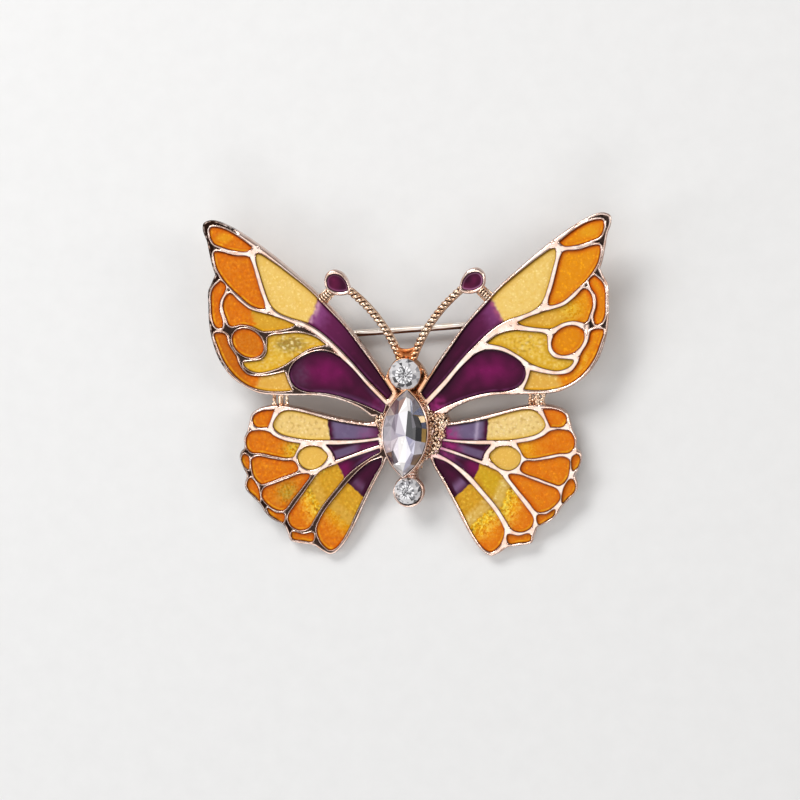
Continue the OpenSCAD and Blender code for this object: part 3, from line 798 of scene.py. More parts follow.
def warm_fill(what, p, d, s, right):
    """The orange and yellow fills: colour and how much glitter shows."""
    x, y = np.abs(p[:, 0]), p[:, 1]
    n, fine = wobble(p, 1.0, 2.0), wobble(p, 0.34, 7.0)
    middle = ease(0.1, 0.7, d)
    glitter = 0.06 * middle
    orange = blend(ORANGE_DEEP, ORANGE, ease(0.02, 0.3, d))
    if right and what in ("tip", "upper_outer", "edge_crescent", "flame", "eye", "lower_band"):
        orange = paint(orange, ((243, 168, 3), 0.8 * middle))
    orange = blend(orange, AMBER, np.clip(middle * (0.15 + 0.35 * n + 0.3 * fine), 0, 0.7))
    if not right:
        orange = paint(orange, ((208, 98, 1), np.clip(0.25 - 0.5 * fine, 0, 0.5)))
    yellow = blend(OLIVE, YELLOW, np.clip(ease(0.0, 0.3, d) * (0.8 + 0.4 * n), 0, 1))
    pale = blend(YELLOW, PALE, np.clip(ease(0.0, 0.35, d) * (0.9 + 0.3 * n), 0, 1))
    color = orange
    if what == "leading":
        light = np.clip((0.45 if right else 0.1) + 0.8 * fine, 0, 0.7)
        upper = ease(1.0, 0.1, d) * ease(-1.0, 1.5, y - 0.86 * x)
        color = paint(pale, ((250, 226, 160), light * middle), ((222, 180, 84), 0.5 * upper))
    elif what == "top":
        color = paint(pale, ((246, 226, 184), (0.8 if right else 0.5) * middle),
                      ((176, 134, 70), np.clip(-0.2 - 1.6 * fine, 0, 0.5) * middle))
        glitter = (0.10 if right else 0.05) * middle
    elif what == "circle":
        color = blend(YELLOW, srgb(240, 198, 108), ease(0.0, 0.3, d))
    elif what == "swirl":
        patch = spot(x, y, (13.8, 4.6), (2.0, 1.0)) if right \
            else spot(x, y, (13.4, 4.9), (1.6, 0.8))
        dusk = patch * ((-0.1 if right else 1.25) - 1.4 * fine)
        streak = (patch + 0.25) * (3.0 * wobble(p * (1, 2.2), 0.5, 9.0) - 0.5)
        color = paint(yellow, ((244, 216, 122), np.clip(middle * (0.3 + 1.1 * fine), 0, 0.85)),
                      ((136, 116, 76), np.clip(dusk, 0, 0.85)),
                      ((254, 246, 214), np.clip(streak, 0, 0.9) * (0.5 if right else 1.0)))
        glitter += 0.10 * patch
    elif what == "flame":
        edge = ease(17.6, 19.6, x + 0.5 * fine) if right \
            else ease(17.45, 17.9, x + 0.4 * fine - 0.25 * (y - 7.8))
        color = blend(blend(yellow, PALE, (0.35 if right else 0.1) * middle), orange, edge)
        if right:
            spark = spot(x, y, (18.7, 8.5), (1.3, 1.3))
            color = paint(color, ((214, 160, 6), 0.7 * spark))
            glitter += 0.30 * spark
    elif what == "lower_band":
        color = blend(pale, YELLOW, 0.4 * middle)
        color = blend(color, orange, ease(17.2, 18.1, x + 0.3 * fine + 0.5 * y))
        if right:
            glitter += 0.25 * ease(1.2, 0.4, np.abs(x - 19.8)) * middle
        else:
            color = paint(color, ((196, 104, 4), 0.7 * ease(18.2, 19.2, x)))
    elif what in ("long_1", "long_2"):
        # olive next to the purple, a pale stripe, then orange from this far out
        first = what == "long_1"
        out = s - (4.0 if first else 3.6)
        color = blend(OLIVE, YELLOW, np.clip(0.6 + fine, 0, 1))
        if right and first:
            color = paint(color, ((218, 194, 36), 0.6 * middle))
        stripe = ease(-1.5, -0.8, out + 0.2 * fine) \
            * ease(0.15, -0.1, out + 0.3 * fine) * np.clip(0.75 + 0.5 * fine, 0, 1)
        dusk = bell(out - 0.45, 0.4) * np.clip(0.4 - 1.2 * fine, 0, 1)
        color = paint(color, ((238, 218, 150), (0.9 if right else 0.3) * stripe),
                      ((226, 160, 8), ease(-0.1, 0.25, out + 0.3 * fine)),
                      ((112, 92, 4), (0.9 if right or first else 0.0) * dusk))
        color = blend(color, orange, ease(0.2, 1.9, out + 0.5 * fine))
        sparkle = ease(-0.1, 0.3, out + 0.2 * fine) * ease(3.0, 0.6, out)
        most = 0.72 if right else 0.6 if first else 0.2
        glitter = np.clip(most * sparkle * (0.75 + 0.9 * fine) + glitter, 0, 1)
    elif what == "tip":
        ridge = ease(2.2, 0.6, np.abs(y - 17.1 - 0.6 * (21 - x)) * 2)
        color = paint(orange, ((246, 186, 36), 0.75 * middle * ridge
                               * ease(1.3, -0.2, n + fine)))
    elif what == "eye":
        color = paint(orange, ((206, 112, 4), (0.1 if right else 0.6) * middle))
        glitter = (0.04 if right else 0.08) * middle
    elif what == "outer_3" and not right:
        dark = spot(x, y, (14.3, -12.4), (1.3, 1.4))
        color = paint(orange, ((116, 80, 8), 0.9 * dark * np.clip(0.9 - 1.3 * fine, 0, 1)))
        glitter = 0.25 * dark + 0.08 * middle
    elif what == "outer_1" and not right:
        spark = spot(x, y, (13.2, -7.5), (1.25, 1.25))
        color = paint(orange, ((206, 158, 20), 0.85 * spark),
                      ((70, 56, 8), np.clip(spark * (-0.1 - 2.4 * fine), 0, 0.85)))
        glitter += 0.5 * spark
    elif what == "outer_1":
        spark = spot(x, y, (13.4, -7.3), (1.3, 1.3))
        color = paint(orange, ((246, 184, 22), 0.7 * spark))
        glitter += 0.12 * spark
    elif what == "edge_chips":
        # painted highlight along the rim
        color = paint(orange, ((244, 178, 30), 0.4 * ease(0.12, 0.04, d)))
    return color, glitter


# Spacings of the grid in a cell and of the finer one along a ragged line, and that one's reach
FILL_GRID, RAGGED_GRID, RAGGED_REACH = 0.14, 0.06, 0.42
# Distances from a cell's outline at which a fill has rings of points
FILL_RINGS = (-0.02, 0.0, 0.05, 0.11, 0.19, 0.3)


class MeetingLine:
    """The straight cut where a cell's two fills meet, seen from one of them."""

    def __init__(self, loops, mate):
        other = tree_of(np.concatenate([dense(loop, 0.01) for loop in FILL_LOOPS[mate]]))
        self.points = np.concatenate([dense(loop, 0.02) for loop in loops])
        self.points = self.points[distance(self.points, other) < 0.02]
        self.tree = tree_of(self.points)
        self.middle = self.points.mean(0)
        along = np.linalg.svd(self.points - self.middle)[2][0]
        out = np.array([-along[1], along[0]])
        # pointing away from the body
        self.out = out if out @ (self.middle - np.array([0, -4.0])) > 0 else -out
        self.along = np.array([-self.out[1], self.out[0]])
        self.half = np.abs(self.reach(self.points)).max()

    def reach(self, points):
        return (points - self.middle) @ self.along

    def past(self, points):
        return (points - self.middle) @ self.out

    def push(self, loop):
        """Unit steps outwards, but only along the cut for points that lie on it."""
        reach = self.reach(loop)
        ends = (np.abs(reach) > self.half - 0.03) * np.sign(reach)
        on_cut = distance(loop, self.tree) < 0.02
        return np.where(on_cut[:, None], ends[:, None] * self.along, -left_normals(loop))


def fill_mesh(node, loops, cut):
    """Points, triangles and rim tree of one fill, which laps over the foot of its rim."""
    bounds, rims, extra = [], [], []
    for loop in loops:
        push = cut.push(loop) if cut else -left_normals(loop)
        bounds.append(loop + push * (lap(node) + 0.025))
        rim = dense(loop + push * lap(node), 0.015)
        rims.append(rim[distance(rim, cut.tree) > 0.03] if cut else rim)
    rim_tree = tree_of(np.concatenate(rims))
    for loop in loops:
        for d in FILL_RINGS:
            moved = inset(loop, d)
            clear = distance(moved, rim_tree) > d + lap(node) - 0.012
            extra.extend(moved[clear & inside(moved, bounds)])
    grid = ground(loops, FILL_GRID, (rim_tree, 0.34))
    if cut:
        # a finer grid along the ragged line
        finer = hexagons(np.concatenate([cut.points - 0.5, cut.points + 0.5]), RAGGED_GRID)
        finer = finer[inside(finer, loops)]
        near = distance(finer, cut.tree)
        near = (near > 0.03) & (near < RAGGED_REACH) & (distance(finer, rim_tree) > 0.05)
        coarse = grid[distance(grid, cut.tree) > RAGGED_REACH + 0.04]
        grid = np.concatenate([coarse, finer[near]])
    points, faces = triangulate(bounds, thin_out(extra, 0.045) + list(grid))
    return points, faces, rim_tree


for node in FILLS:
    side, what = node.replace("_enamel", "").split("_", 1)
    what = what.replace("fore_", "").replace("hind_", "")
    right = side == "right"
    dark = "purple" in what or what in ("teardrop", "wedge", "antenna")
    level = LOOP_ENAMEL_Z if what == "antenna" else ENAMEL_Z - (0.06 if what == "edge_chips" else 0)
    loops = [smooth(loop) for loop in FILL_LOOPS[node]]
    run = next((r for r in RUNS if what in (r, r + "_purple", r + "_yellow")), None)
    cut = s = None
    if run:
        warm = run if run.startswith("long") else run + "_yellow"
        cut = MeetingLine(loops, node.replace(what, warm if dark else run + "_purple"))
    points, faces, rim_tree = fill_mesh(node, loops, cut)
    d, way = nearest(points, rim_tree)
    share = np.full(len(points), 0.0 if dark else 1.0)
    if cut:
        s = cut.past(points)
        ragged = s + 0.16 * wobble(points, 0.5, 11.0) + 0.04 * wobble(points, 0.25, 12.0)
        if run == "leading" and not right:
            ragged -= 0.25 * np.abs(cut.reach(points))
        share = ease(-0.3 if run == "leading" else -0.12, 0.1, ragged)
    warm_color, glitter = warm_fill(run or what, points, d, s, right)
    colors = blend(purple(run or what, points, d, s, right), warm_color, share)
    # the rim throws a dark line on its lower side, and the enamel glows along its upper side
    above = ease(-0.2, 0.9, way @ np.array([-0.5 if right else 0.5, 0.86]))
    below = ease(0.0, 0.9, way @ np.array([0.5 if right else -0.7, -0.8]))
    glow = bell(d - 0.18, 0.09) * below * np.clip(0.8 + wobble(points, 0.8, 3.0), 0, 1)
    lit = (140, 70, 122) if dark else (252, 226, 146) if "yellow" in what or what == "circle" \
        else (255, 202, 44)
    colors = paint(colors, (lit, (0.35 if dark else 0.85) * glow))
    corner = bell(d, 0.06 + 0.08 * above)
    colors = blend(colors, colors * np.array([0.12, 0.08, 0.06]), corner * (0.55 + 0.42 * above))
    lift = 0.10 * np.exp(-d / 0.09)
    lift += 0.014 * wobble(points, 1.6, 4.0) + 0.005 * wobble(points, 0.5, 9.0)
    if dark:
        material, slot = PURPLE_ENAMEL, "purple_enamel"
    elif "yellow" in what or what in ("circle", "swirl"):
        material, slot = YELLOW_ENAMEL, "yellow_enamel"
    else:
        material, slot = ORANGE_ENAMEL, "orange_enamel"
    piece(node + "_fill", at_height(points, level + lift), faces, material, slot, colors=colors,
          stands_for=(node,), glitter=glitter * share * (1 - corner))


# ---------------------------------------------------------------- the body's metal
def turned(points, at, angle):
    c, s = math.cos(angle), math.sin(angle)
    p = np.asarray(points, float)
    return np.c_[at[0] + c * p[:, 0] - s * p[:, 1], at[1] + s * p[:, 0] + c * p[:, 1], p[:, 2]]


NAVETTE_OFF, NAVETTE_R = 3.75, 6.25


def navette(grow, z, steps):
    """Outline of what two circles share, from the top point round by the right."""
    r = NAVETTE_R + grow
    reach = math.acos(NAVETTE_OFF / r)
    right = [(-NAVETTE_OFF + r * math.cos(a), r * math.sin(a), z)
             for a in np.linspace(reach, -reach, steps, endpoint=False)]
    return right + [(-x, -y, z) for x, y, _ in right]


mount = Build()
# rows of (growth round the stone, height, tarnish and painted shade), with painted shade low down
# and at the lip
wall = [(0.42, 0.9, 0.5), (0.36, 1.4, 0.3), (0.27, 2.1, 0.12), (0.22, 2.45, 0.05),
        (0.215, 2.6, 0), (0.19, 2.70, 0), (0.14, 2.765, 0), (0.08, 2.78, 0), (0.03, 2.75, 0.1),
        (0.0, 2.68, 0.5), (-0.05, 2.5, 0.8)]
mount.rings([turned(navette(grow, z, 40)[::-1], BODY_AT, BODY_TURN) for grow, z, _ in wall],
            patina=[row[2] for row in wall])
# Cups: a turned wall with a shoulder, and a lip that closes on the crystal; painted shade darkens
# the lower part, the tail cup's groove and the lip's inner edge
mount.lathe(HEAD_AT, [
    (1.95, 0.9, 0.6), (1.9, 1.2, 0.4), (1.72, 1.5, 0.4), (1.66, 1.9, 0.3), (1.68, 2.2, 0.2),
    (1.76, 2.34, 0.1), (1.82, 2.43, 0), (1.84, 2.5, 0), (1.82, 2.56, 0), (1.77, 2.58, 0.3),
    (1.7, 2.5, 0.8)])
TAIL_CUP, TAIL_FOOT = (0.08, -12.16), 1.3
mount.lathe(TAIL_CUP, [
    (TAIL_FOOT, 0.0, 0.2), (1.42, 0.04, 0.2), (1.5, 0.12, 0.2), (1.53, 0.4, 0.15),
    (1.55, 0.9, 0.15), (1.62, 1.1, 0.2), (1.78, 1.2, 0), (1.82, 1.3, 0), (1.80, 1.42, 0.1),
    (1.68, 1.52, 0.6), (1.62, 1.64, 0.8), (1.64, 1.86, 0.5), (1.74, 2.02, 0.1), (1.78, 2.12, 0),
    (1.76, 2.21, 0), (1.69, 2.27, 0), (1.6, 2.26, 0.3), (1.52, 2.18, 0.8)])
foot = [(TAIL_CUP[0] + TAIL_FOOT * math.cos(TAU * k / 64),
         TAIL_CUP[1] + TAIL_FOOT * math.sin(TAU * k / 64)) for k in range(64)]
mount.lid(foot, [range(64)], 0.0, 0.1)
# Ribbed neck between the body crystal and the tail, round a core painted dark for the shade between
# the ribs
NECK_X = 0.22
for i in range(5):
    y, half = -9.75 - 0.36 * i, 0.78 - 0.05 * i
    mount.tube([(NECK_X + half * math.cos(a), y, 0.9 + math.sin(a))
                for a in np.linspace(-0.3, math.pi + 0.3, 22)], 0.19, 10, patina=0.1)
mount.tube([(NECK_X, -9.2, 1.0), (NECK_X, -11.4, 1.0)], 0.82, 24, patina=0.7)
mount.make("body_mount", GOLD)

# ---------------------------------------------------------------- crystals
# tints of the painted reflections in the crystals' facets
WHITE, GREY, SMOKE, BLACK = (np.array(c) for c in ((1.0, 0.98, 0.97), (0.48, 0.47, 0.48),
                                                   (0.13, 0.125, 0.13), (0.012, 0.012, 0.015)))
HALF_STEP = 22.5


def facets(name, node, cut, at, turn=0.0):
    """A cut stone: each of its (corners, tint) is one flat facet with its own return of light."""
    points, faces, colors = [], [], []
    for corners, tint in cut:
        corners = np.array(corners, float)
        normal = np.cross(corners[1] - corners[0], corners[-1] - corners[0])
        if normal @ (corners.mean(0) - np.array([0, 0, -0.6])) < 0:
            corners = corners[::-1]
        n = len(points)
        points += [tuple(p) for p in corners]
        faces.append(tuple(range(n, n + len(corners))))
        colors += [tint] * len(corners)
    placed = turned(points, at, turn) + np.array([0, 0, at[2]])
    piece(name, placed, faces, CRYSTAL, "crystal", colors=np.array(colors), flat=True,
          stands_for=(node,))


def polar(r, degrees, z):
    a = math.radians(degrees)
    return (r * math.cos(a), r * math.sin(a), z)


def round_stone(name, node, d, at, turn):
    """Round brilliant: kites and half facets round a table that shows the broken star below it."""
    r = d / 2
    girdle, top, table = 0.15, 0.15 + 0.2 * d, 0.56 * r
    cut = []
    rnd = random.Random(d)

    def add(weights, *corners):
        tone = rnd.choices((WHITE, GREY, SMOKE, BLACK), weights)[0]
        cut.append((corners, tone * rnd.uniform(0.85, 1.0)))

    def crown(share, degrees):
        return polar(table + (r - table) * share, degrees, top + (girdle - top) * share)

    def glow(share, degrees):
        return polar(table * share, degrees, top - 0.012 * (1 - share))

    for i in range(8):
        a = 45 * i + turn
        inner, left, outer, right = crown(0, a), crown(0.52, a - 16), crown(0.97, a), \
            crown(0.52, a + 16)
        tip, far, between = crown(0.5, a), crown(0.52, a + 29), crown(0.97, a + HALF_STEP)
        add((6, 1, 0, 0), inner, left, tip)
        add((4, 1, 2, 0), left, outer, tip)
        add((6, 1, 0, 0), tip, outer, right)
        add((2, 1, 2, 1), inner, tip, right)
        add((4, 1, 1, 1), inner, right, far, crown(0, a + 45))
        add((3, 1, 2, 1), right, outer, between)
        add((5, 1, 1, 0), right, between, far)
        add((5, 1, 1, 0), far, between, crown(0.97, a + 45))
    # painted reflections of the pavilion seen through the table: bright wedges between thin dark
    # spokes
    spokes = [HALF_STEP * i + turn + rnd.uniform(-3, 3) for i in range(16)]
    for b, c in zip(spokes, spokes[1:] + [spokes[0] + 360]):
        for low, high, weights in ((0.0, 0.34, (1, 2, 3, 2)), (0.34, 0.66, (4, 2, 2, 1)),
                                   (0.66, 1.0, (7, 1, 1, 0))):
            for first, last, tones in ((b - 2.5, b + 2.5, (0, 0, 2, 2)),
                                       (b + 2.5, c - 2.5, weights)):
                near, far = glow(low, first), glow(high, last)
                add(tones, near, glow(high, first), far)
                if low:
                    add(tones, near, far, glow(low, last))
    for i in range(16):
        a = HALF_STEP * i + turn
        b = a + HALF_STEP
        add((0, 1, 0, 0), polar(r, a, 0), polar(r, b, 0), polar(r, b, girdle), polar(r, a, girdle))
        add((0, 1, 0, 0), polar(r, a, girdle), polar(r, b, girdle), crown(0.97, b), crown(0.97, a))
        add((0, 0, 1, 0), polar(r, b, 0), polar(r, a, 0), polar(r * 0.3, a, -0.3 * d),
            polar(r * 0.3, b, -0.3 * d))
    facets(name, node, cut, at)


GIRDLE, TABLE = 0.2, 1.1


def rim_corner(way, y):
    """A corner on the navette's rim, on the left for way -1 and on the right for 1."""
    return (way * (math.sqrt(NAVETTE_R ** 2 - y * y) - NAVETTE_OFF), y, GIRDLE)


# The navette's corners by name: H and T are its points at the head and the tail, L and R lie
# along its rim, a to n along the edge of the table, and j2, j3, k2 and l2 on a shelf on the
# right. The others are where the reflections meet that the table shows.
CORNERS = {"H": (0, 5.0, GIRDLE), "T": (0, -5.0, GIRDLE)}
CORNERS |= {f"L{i}": rim_corner(-1, y) for i, y in
            enumerate((3.9, 2.9, 1.9, 0.6, -0.95, -2.4, -3.8))}
CORNERS |= {f"R{i}": rim_corner(1, y) for i, y in
            enumerate((4.1, 3.2, 2.2, 1.5, 0.7, -0.9, -2.2, -3.6))}
CORNERS |= dict(
    a=(0.05, 4.3, 0.85), b=(-0.75, 3.75, 0.8), c=(-1.15, 2.2, TABLE), d=(-1.45, 0.9, TABLE),
    e=(-1.4, -0.8, TABLE), f=(-1.3, -2.0, TABLE), g=(-0.95, -3.5, 0.85), h=(0.08, -4.3, 0.85),
    i=(0.75, 3.8, 0.8), j=(0.9, 2.4, TABLE), k=(1.35, 1.0, TABLE), l=(1.35, -0.6, TABLE),
    m=(1.25, -2.2, TABLE), n=(0.9, -3.4, 0.85), p=(-0.72, 2.4, 1.04), q=(0.33, 2.8, 1.04),
    r=(0.22, -0.1, 1.08), t=(-0.95, 0.15, 1.06), a2=(0.5, 4.1, 0.9), a3=(0.66, 2.7, 1.03),
    q2=(0.95, 0.8, 1.07), q3=(1.12, -0.5, 1.08), u=(-0.6, -0.3, 1.07), w=(-1.12, -1.85, 1.05),
    x=(0.95, -2.0, 1.06), y=(0.35, -3.2, 1.0), z=(-0.42, -3.2, 1.0), v=(0.66, -1.3, 1.08),
    j2=(1.5, 2.1, 0.62), j3=(1.86, 1.45, 0.58), k2=(1.98, 0.8, 0.56), l2=(2.0, -0.75, 0.56))
# tints of the navette's facets, which are painted reflections
MAUVE, ROSE, LILAC = (0.17, 0.11, 0.13), (0.50, 0.31, 0.25), (0.54, 0.50, 0.57)
BLUE, RUM, HONEY = (0.12, 0.13, 0.21), (0.30, 0.17, 0.05), (0.50, 0.30, 0.07)
PEARL, INK = (0.95, 0.92, 0.93), (0.02, 0.02, 0.025)
NAVETTE_CUT = (
    # the crown on the left, from the head down
    ("H L0 b a", (0.5, 0.46, 0.5)), ("L0 L1 c b", (0.3, 0.18, 0.2)),
    ("L1 L2 c", (0.5, 0.4, 0.36)), ("L2 L3 d c", (0.42, 0.38, 0.44)), ("L3 L4 e d", LILAC),
    ("L4 L5 f e", (0.66, 0.58, 0.66)), ("L5 L6 g f", MAUVE), ("L6 T h g", PEARL),
    # the crown on the right
    ("H a i R0", (0.46, 0.42, 0.44)), ("R0 i j R1", (0.3, 0.28, 0.32)), ("R1 j R2", BLUE),
    ("j k k2 j2", (0.09, 0.085, 0.09)), ("j j2 R2", RUM), ("R2 j2 j3 R3", HONEY),
    ("R3 j3 k2 R4", BLUE), ("k l l2 k2", (0.04, 0.04, 0.045)), ("R4 k2 l2 R5", HONEY),
    ("l2 l m R6 R5", (0.68, 0.65, 0.74)), ("R6 m n R7", (0.26, 0.2, 0.2)), ("R7 n h T", LILAC),
    # the table
    ("a b p", ROSE), ("b c p", MAUVE), ("a p q a3 a2", PEARL), ("p r q", PEARL),
    ("a a2 i", (0.4, 0.36, 0.38)), ("a2 a3 j i", BLUE), ("q r q3 q2 a3", INK),
    ("a3 q2 k j", (0.10, 0.09, 0.11)), ("q2 q3 l k", (0.05, 0.045, 0.05)),
    ("c d t", (0.17, 0.13, 0.17)), ("c t p", (0.3, 0.24, 0.3)), ("p t r", (0.62, 0.56, 0.62)),
    ("t u r", (0.42, 0.38, 0.46)), ("d e u t", (0.36, 0.31, 0.38)), ("u w z", (0.88, 0.8, 0.84)),
    ("u z y r", PEARL), ("r y x v", (0.88, 0.86, 0.95)), ("r v q3", (0.33, 0.31, 0.44)),
    ("q3 v x l", (0.42, 0.4, 0.52)), ("l x m", (0.7, 0.68, 0.8)), ("e f w u", (0.6, 0.52, 0.58)),
    ("w f g z", (0.2, 0.17, 0.2)), ("z g h y", PEARL), ("y h n", (0.6, 0.57, 0.68)),
    ("x y n m", (0.48, 0.45, 0.58)))


def long_stone(name, node, at, turn):
    """Navette: a ring of crown facets round a long table, and what the back of the stone
    shows through the table."""
    cut = []
    for names, tint in NAVETTE_CUT:
        corners = np.array([CORNERS[c] for c in names.split()])
        if len(corners) == 3:
            cut.append((corners, np.array(tint)))
            continue
        # each larger facet shows several slightly different reflections
        share = np.array([random.uniform(0.4, 1.0) for _ in corners])
        centre = (corners * share[:, None]).sum(0) / share.sum()
        for first, second in pairs(corners):
            cut.append(((centre, first, second),
                        np.array(tint) * (1.02, 1.0, 0.95) * random.uniform(0.72, 1.12)))
    rim = ["H"] + [f"L{i}" for i in range(7)] + ["T"] + [f"R{i}" for i in range(7, -1, -1)]
    for first, second in pairs([np.array(CORNERS[c]) for c in rim]):
        low = [q * (1, 1, 0) for q in (first, second)]
        deep = [q * (0.35, 0.35, 0) - (0, 0, 1.7) for q in (first, second)]
        cut += [((first, *low, second), GREY), ((low[0], *deep, low[1]), SMOKE)]
    facets(name, node, cut, at, turn)


round_stone("head_stone", "head_crystal", 3.6, HEAD_AT, 10)
round_stone("tail_stone", "tail_crystal", 3.1, TAIL_AT, 24)
long_stone("body_stone", "body_crystal", BODY_AT, BODY_TURN)

# ---------------------------------------------------------------- grainy shoulders and bridges
def jitter(low, high, count):
    return np.array([random.uniform(low, high) for _ in range(count)])


shoulder = Build()
for loop in outlines(["casting"], WING_TOP + 0.25):
    if abs(signed_area(loop)) < 1.0:
        continue
    loop = smooth(loop, 0.07)
    tree = tree_of(dense(loop))
    seeds = hexagons(loop, 0.32)
    seeds = seeds + jitter(-0.1, 0.1, 2 * len(seeds)).reshape(-1, 2)
    size, tall = jitter(0.14, 0.25, len(seeds)), jitter(0.0, 0.3, len(seeds))
    points, faces = triangulate([loop], ground([loop], 0.06, (tree, 0.045)))
    gap = np.linalg.norm(points[:, None] - seeds[None], axis=2)
    bead = np.where(gap < size, np.sqrt(np.maximum(size ** 2 - gap ** 2, 0)) * 1.25 + tall, 0)
    # painted shade in the crevices between the grains and on the sunken edge
    crevice = ease(0.62, 0.95, (gap / size)[np.arange(len(gap)), bead.argmax(1)])
    edge = ease(0.22, 0.0, distance(points, tree))
    shoulder.add(at_height(points, WING_TOP - 0.10 + 0.8 * bead.max(1) - 0.3 * edge), faces,
                 np.clip(0.9 * crevice + 0.2 * edge, 0, 1))
    shoulder.rings([at_height(loop, z) for z in (0.9, WING_TOP - 0.4)], patina=0.5)
# grains that run up the right side of the body's mount
for x, y, _ in turned(navette(0.36, 0, 30)[3:27], BODY_AT, BODY_TURN):
    for _ in range(3):
        at = (x + random.uniform(-0.05, 0.1), y + random.uniform(-0.17, 0.17),
              random.uniform(1.5, 2.3))
        shoulder.lump(at, random.uniform(0.09, 0.15), 1.0, random.random() * 9,
                      random.uniform(0, 0.35))
# wire along the foot of the right shoulder, where the wing leaves the body
shoulder.tube([(1.5, -9.6, 0.9), (1.52, -9.1, 0.95), (1.65, -8.65, 1.0), (1.95, -8.35, 1.05),
               (2.4, -8.22, 1.1), (2.9, -8.35, 1.15)], 0.11, 10)
shoulder.make("shoulder_grain", GRAIN_GOLD)

bridges = Build()
for side, grains in ((1, 34), (-1, 16)):
    rnd = random.Random(5 + side)
    at = np.array([14.85 * side, -1.6, 0])
    flip = (side, 1, 1)
    for dx, w in ((-0.8, 0.2), (0.0, 0.34), (0.8, 0.2)):
        path = np.array([(dx, 1.0, 0.7), (dx * 0.9, 0.4, 0.72), (dx * 0.9, -0.3, 0.72),
                         (dx, -1.0, 0.7)])
        bridges.tube(at + path * flip, [w, w * 0.9, w * 0.9, w], patina=0.15)
    for _ in range(grains):
        u, v = rnd.uniform(-0.95, 0.95), rnd.uniform(-0.75, 0.75)
        r = rnd.uniform(0.12, 0.22)
        bridges.lump(at + np.array([u, v, rnd.uniform(0.7, 0.98)]) * flip, r, 0.9,
                     rnd.random() * 9, rnd.uniform(0.0, 0.25))
bridges.make("bridges", GRAIN_GOLD)

# ---------------------------------------------------------------- antennae
ARC_AT, ARC_R, ROD_Z = np.array([17.45, -3.0]), 17.8, 0.95


def arc_point(degrees, r=ARC_R, z=ROD_Z):
    """A point on the arc of the right antenna."""
    a = math.radians(degrees)
    return (ARC_AT[0] + r * math.cos(a), ARC_AT[1] + r * math.sin(a), z)


# Web between the roots of the antennae, with its top edge hollowed to a U
WEB_LOW, WEB_TOP = 0.6, 1.3
root = [arc_point(a)[:2] for a in np.linspace(160.6, 155.6, 8)]
end_x = root[-1][0]
dip = [(x, 4.25 + 0.42 * abs(x / end_x) ** 2.2) for x in np.linspace(end_x, -end_x, 15)[1:-1]]
web_loop = smooth(root + dip + [(-x, y) for x, y in root[::-1]], 0.07)
tree = tree_of(dense(web_loop))
points, faces = triangulate([web_loop], ground([web_loop], 0.1, (tree, 0.06)))
d = distance(points, tree)
z = WEB_TOP - 0.15 * np.exp(-d / 0.06) - 0.22 * ease(0.1, 0.6, d)
web = Build()
web.add(at_height(points, z + 0.05 * wobble(points, 0.3)), faces, 0.5 * ease(0.1, 0.5, d))
web.rings([at_height(web_loop, z) for z in (WEB_LOW, WEB_TOP - 0.15)], patina=0.3)
web.lid(points, faces, WEB_LOW, 0.3)
web.make("antenna_web", WEB_GOLD)

# Ropes: two strands twisted round a core painted dark for the shade between them, from the web to
# the loops
START, STOP, PITCH, STRAND_OFF = 160.8, 128.2, 1.25, 0.22
# the sleeve's start, its way to the rim of the wing, and the two directions across it
FIRST, WAY = np.array([8.5, 10.98, 0.95]), np.array([0.731, -0.682, 0])
ACROSS, UP = np.array([0.682, 0.731, 0]), np.array([0, 0, 1])
ropes = Build()
for side in (1, -1):
    flip = (side, 1, 1)
    turns = math.radians(START - STOP) * ARC_R / PITCH
    first_point = len(ropes.points)
    for strand in range(2):
        path = []
        for share in np.linspace(0, 1, 241):
            turn = TAU * turns * share + math.pi * strand
            path.append(arc_point(START + (STOP - START) * share,
                                  ARC_R + STRAND_OFF * math.cos(turn),
                                  ROD_Z + STRAND_OFF * math.sin(turn)))
        ropes.tube(np.array(path) * flip, 0.235, 10)
    strands = np.array(ropes.points[first_point:])
    out = np.hypot(side * strands[:, 0] - ARC_AT[0], strands[:, 1] - ARC_AT[1]) - ARC_R
    from_core = np.hypot(out, strands[:, 2] - ROD_Z)
    # painted shade on the strands where they turn in towards the core
    ropes.patina[first_point:] = 0.9 * ease(0.39, 0.30, from_core)
    core = [arc_point(a) for a in np.linspace(START, STOP, 40)]
    ropes.tube(np.array(core) * flip, 0.28, 10, 0.95)
    # the cast edge under the rope
    under = [arc_point(a, ARC_R - side * 0.36, 0.66) for a in np.linspace(START, STOP, 50)]
    ropes.tube(np.array(under) * flip, 0.13, 8, 0.1)
    # sleeve from the loop to the rim of the wing, wound with wire and stayed by two bars, round a
    # core painted dark for the shade between the coils
    a = np.linspace(0, TAU, 29)[:, None]
    for k in range(5):
        coil = FIRST + WAY * (0.2 + 0.33 * k) + 0.42 * (ACROSS * np.cos(a) + UP * np.sin(a)) \
            + WAY * 0.04 * np.sin(a)
        ropes.tube(coil * flip, 0.13, 8, 0.05, caps=(False, False))
    ropes.tube(np.array([FIRST, FIRST + WAY * 1.7]) * flip, 0.36, 16, 0.95)
    for lean in (-1, 1):
        bar = np.array([ACROSS * 0.5 * lean - WAY * 0.1, ACROSS * 0.62 * lean + WAY * 1.75])
        ropes.tube((FIRST - 0.1 * UP + bar) * flip, 0.1, 8)
ropes.make("antenna_ropes", GRAIN_GOLD)

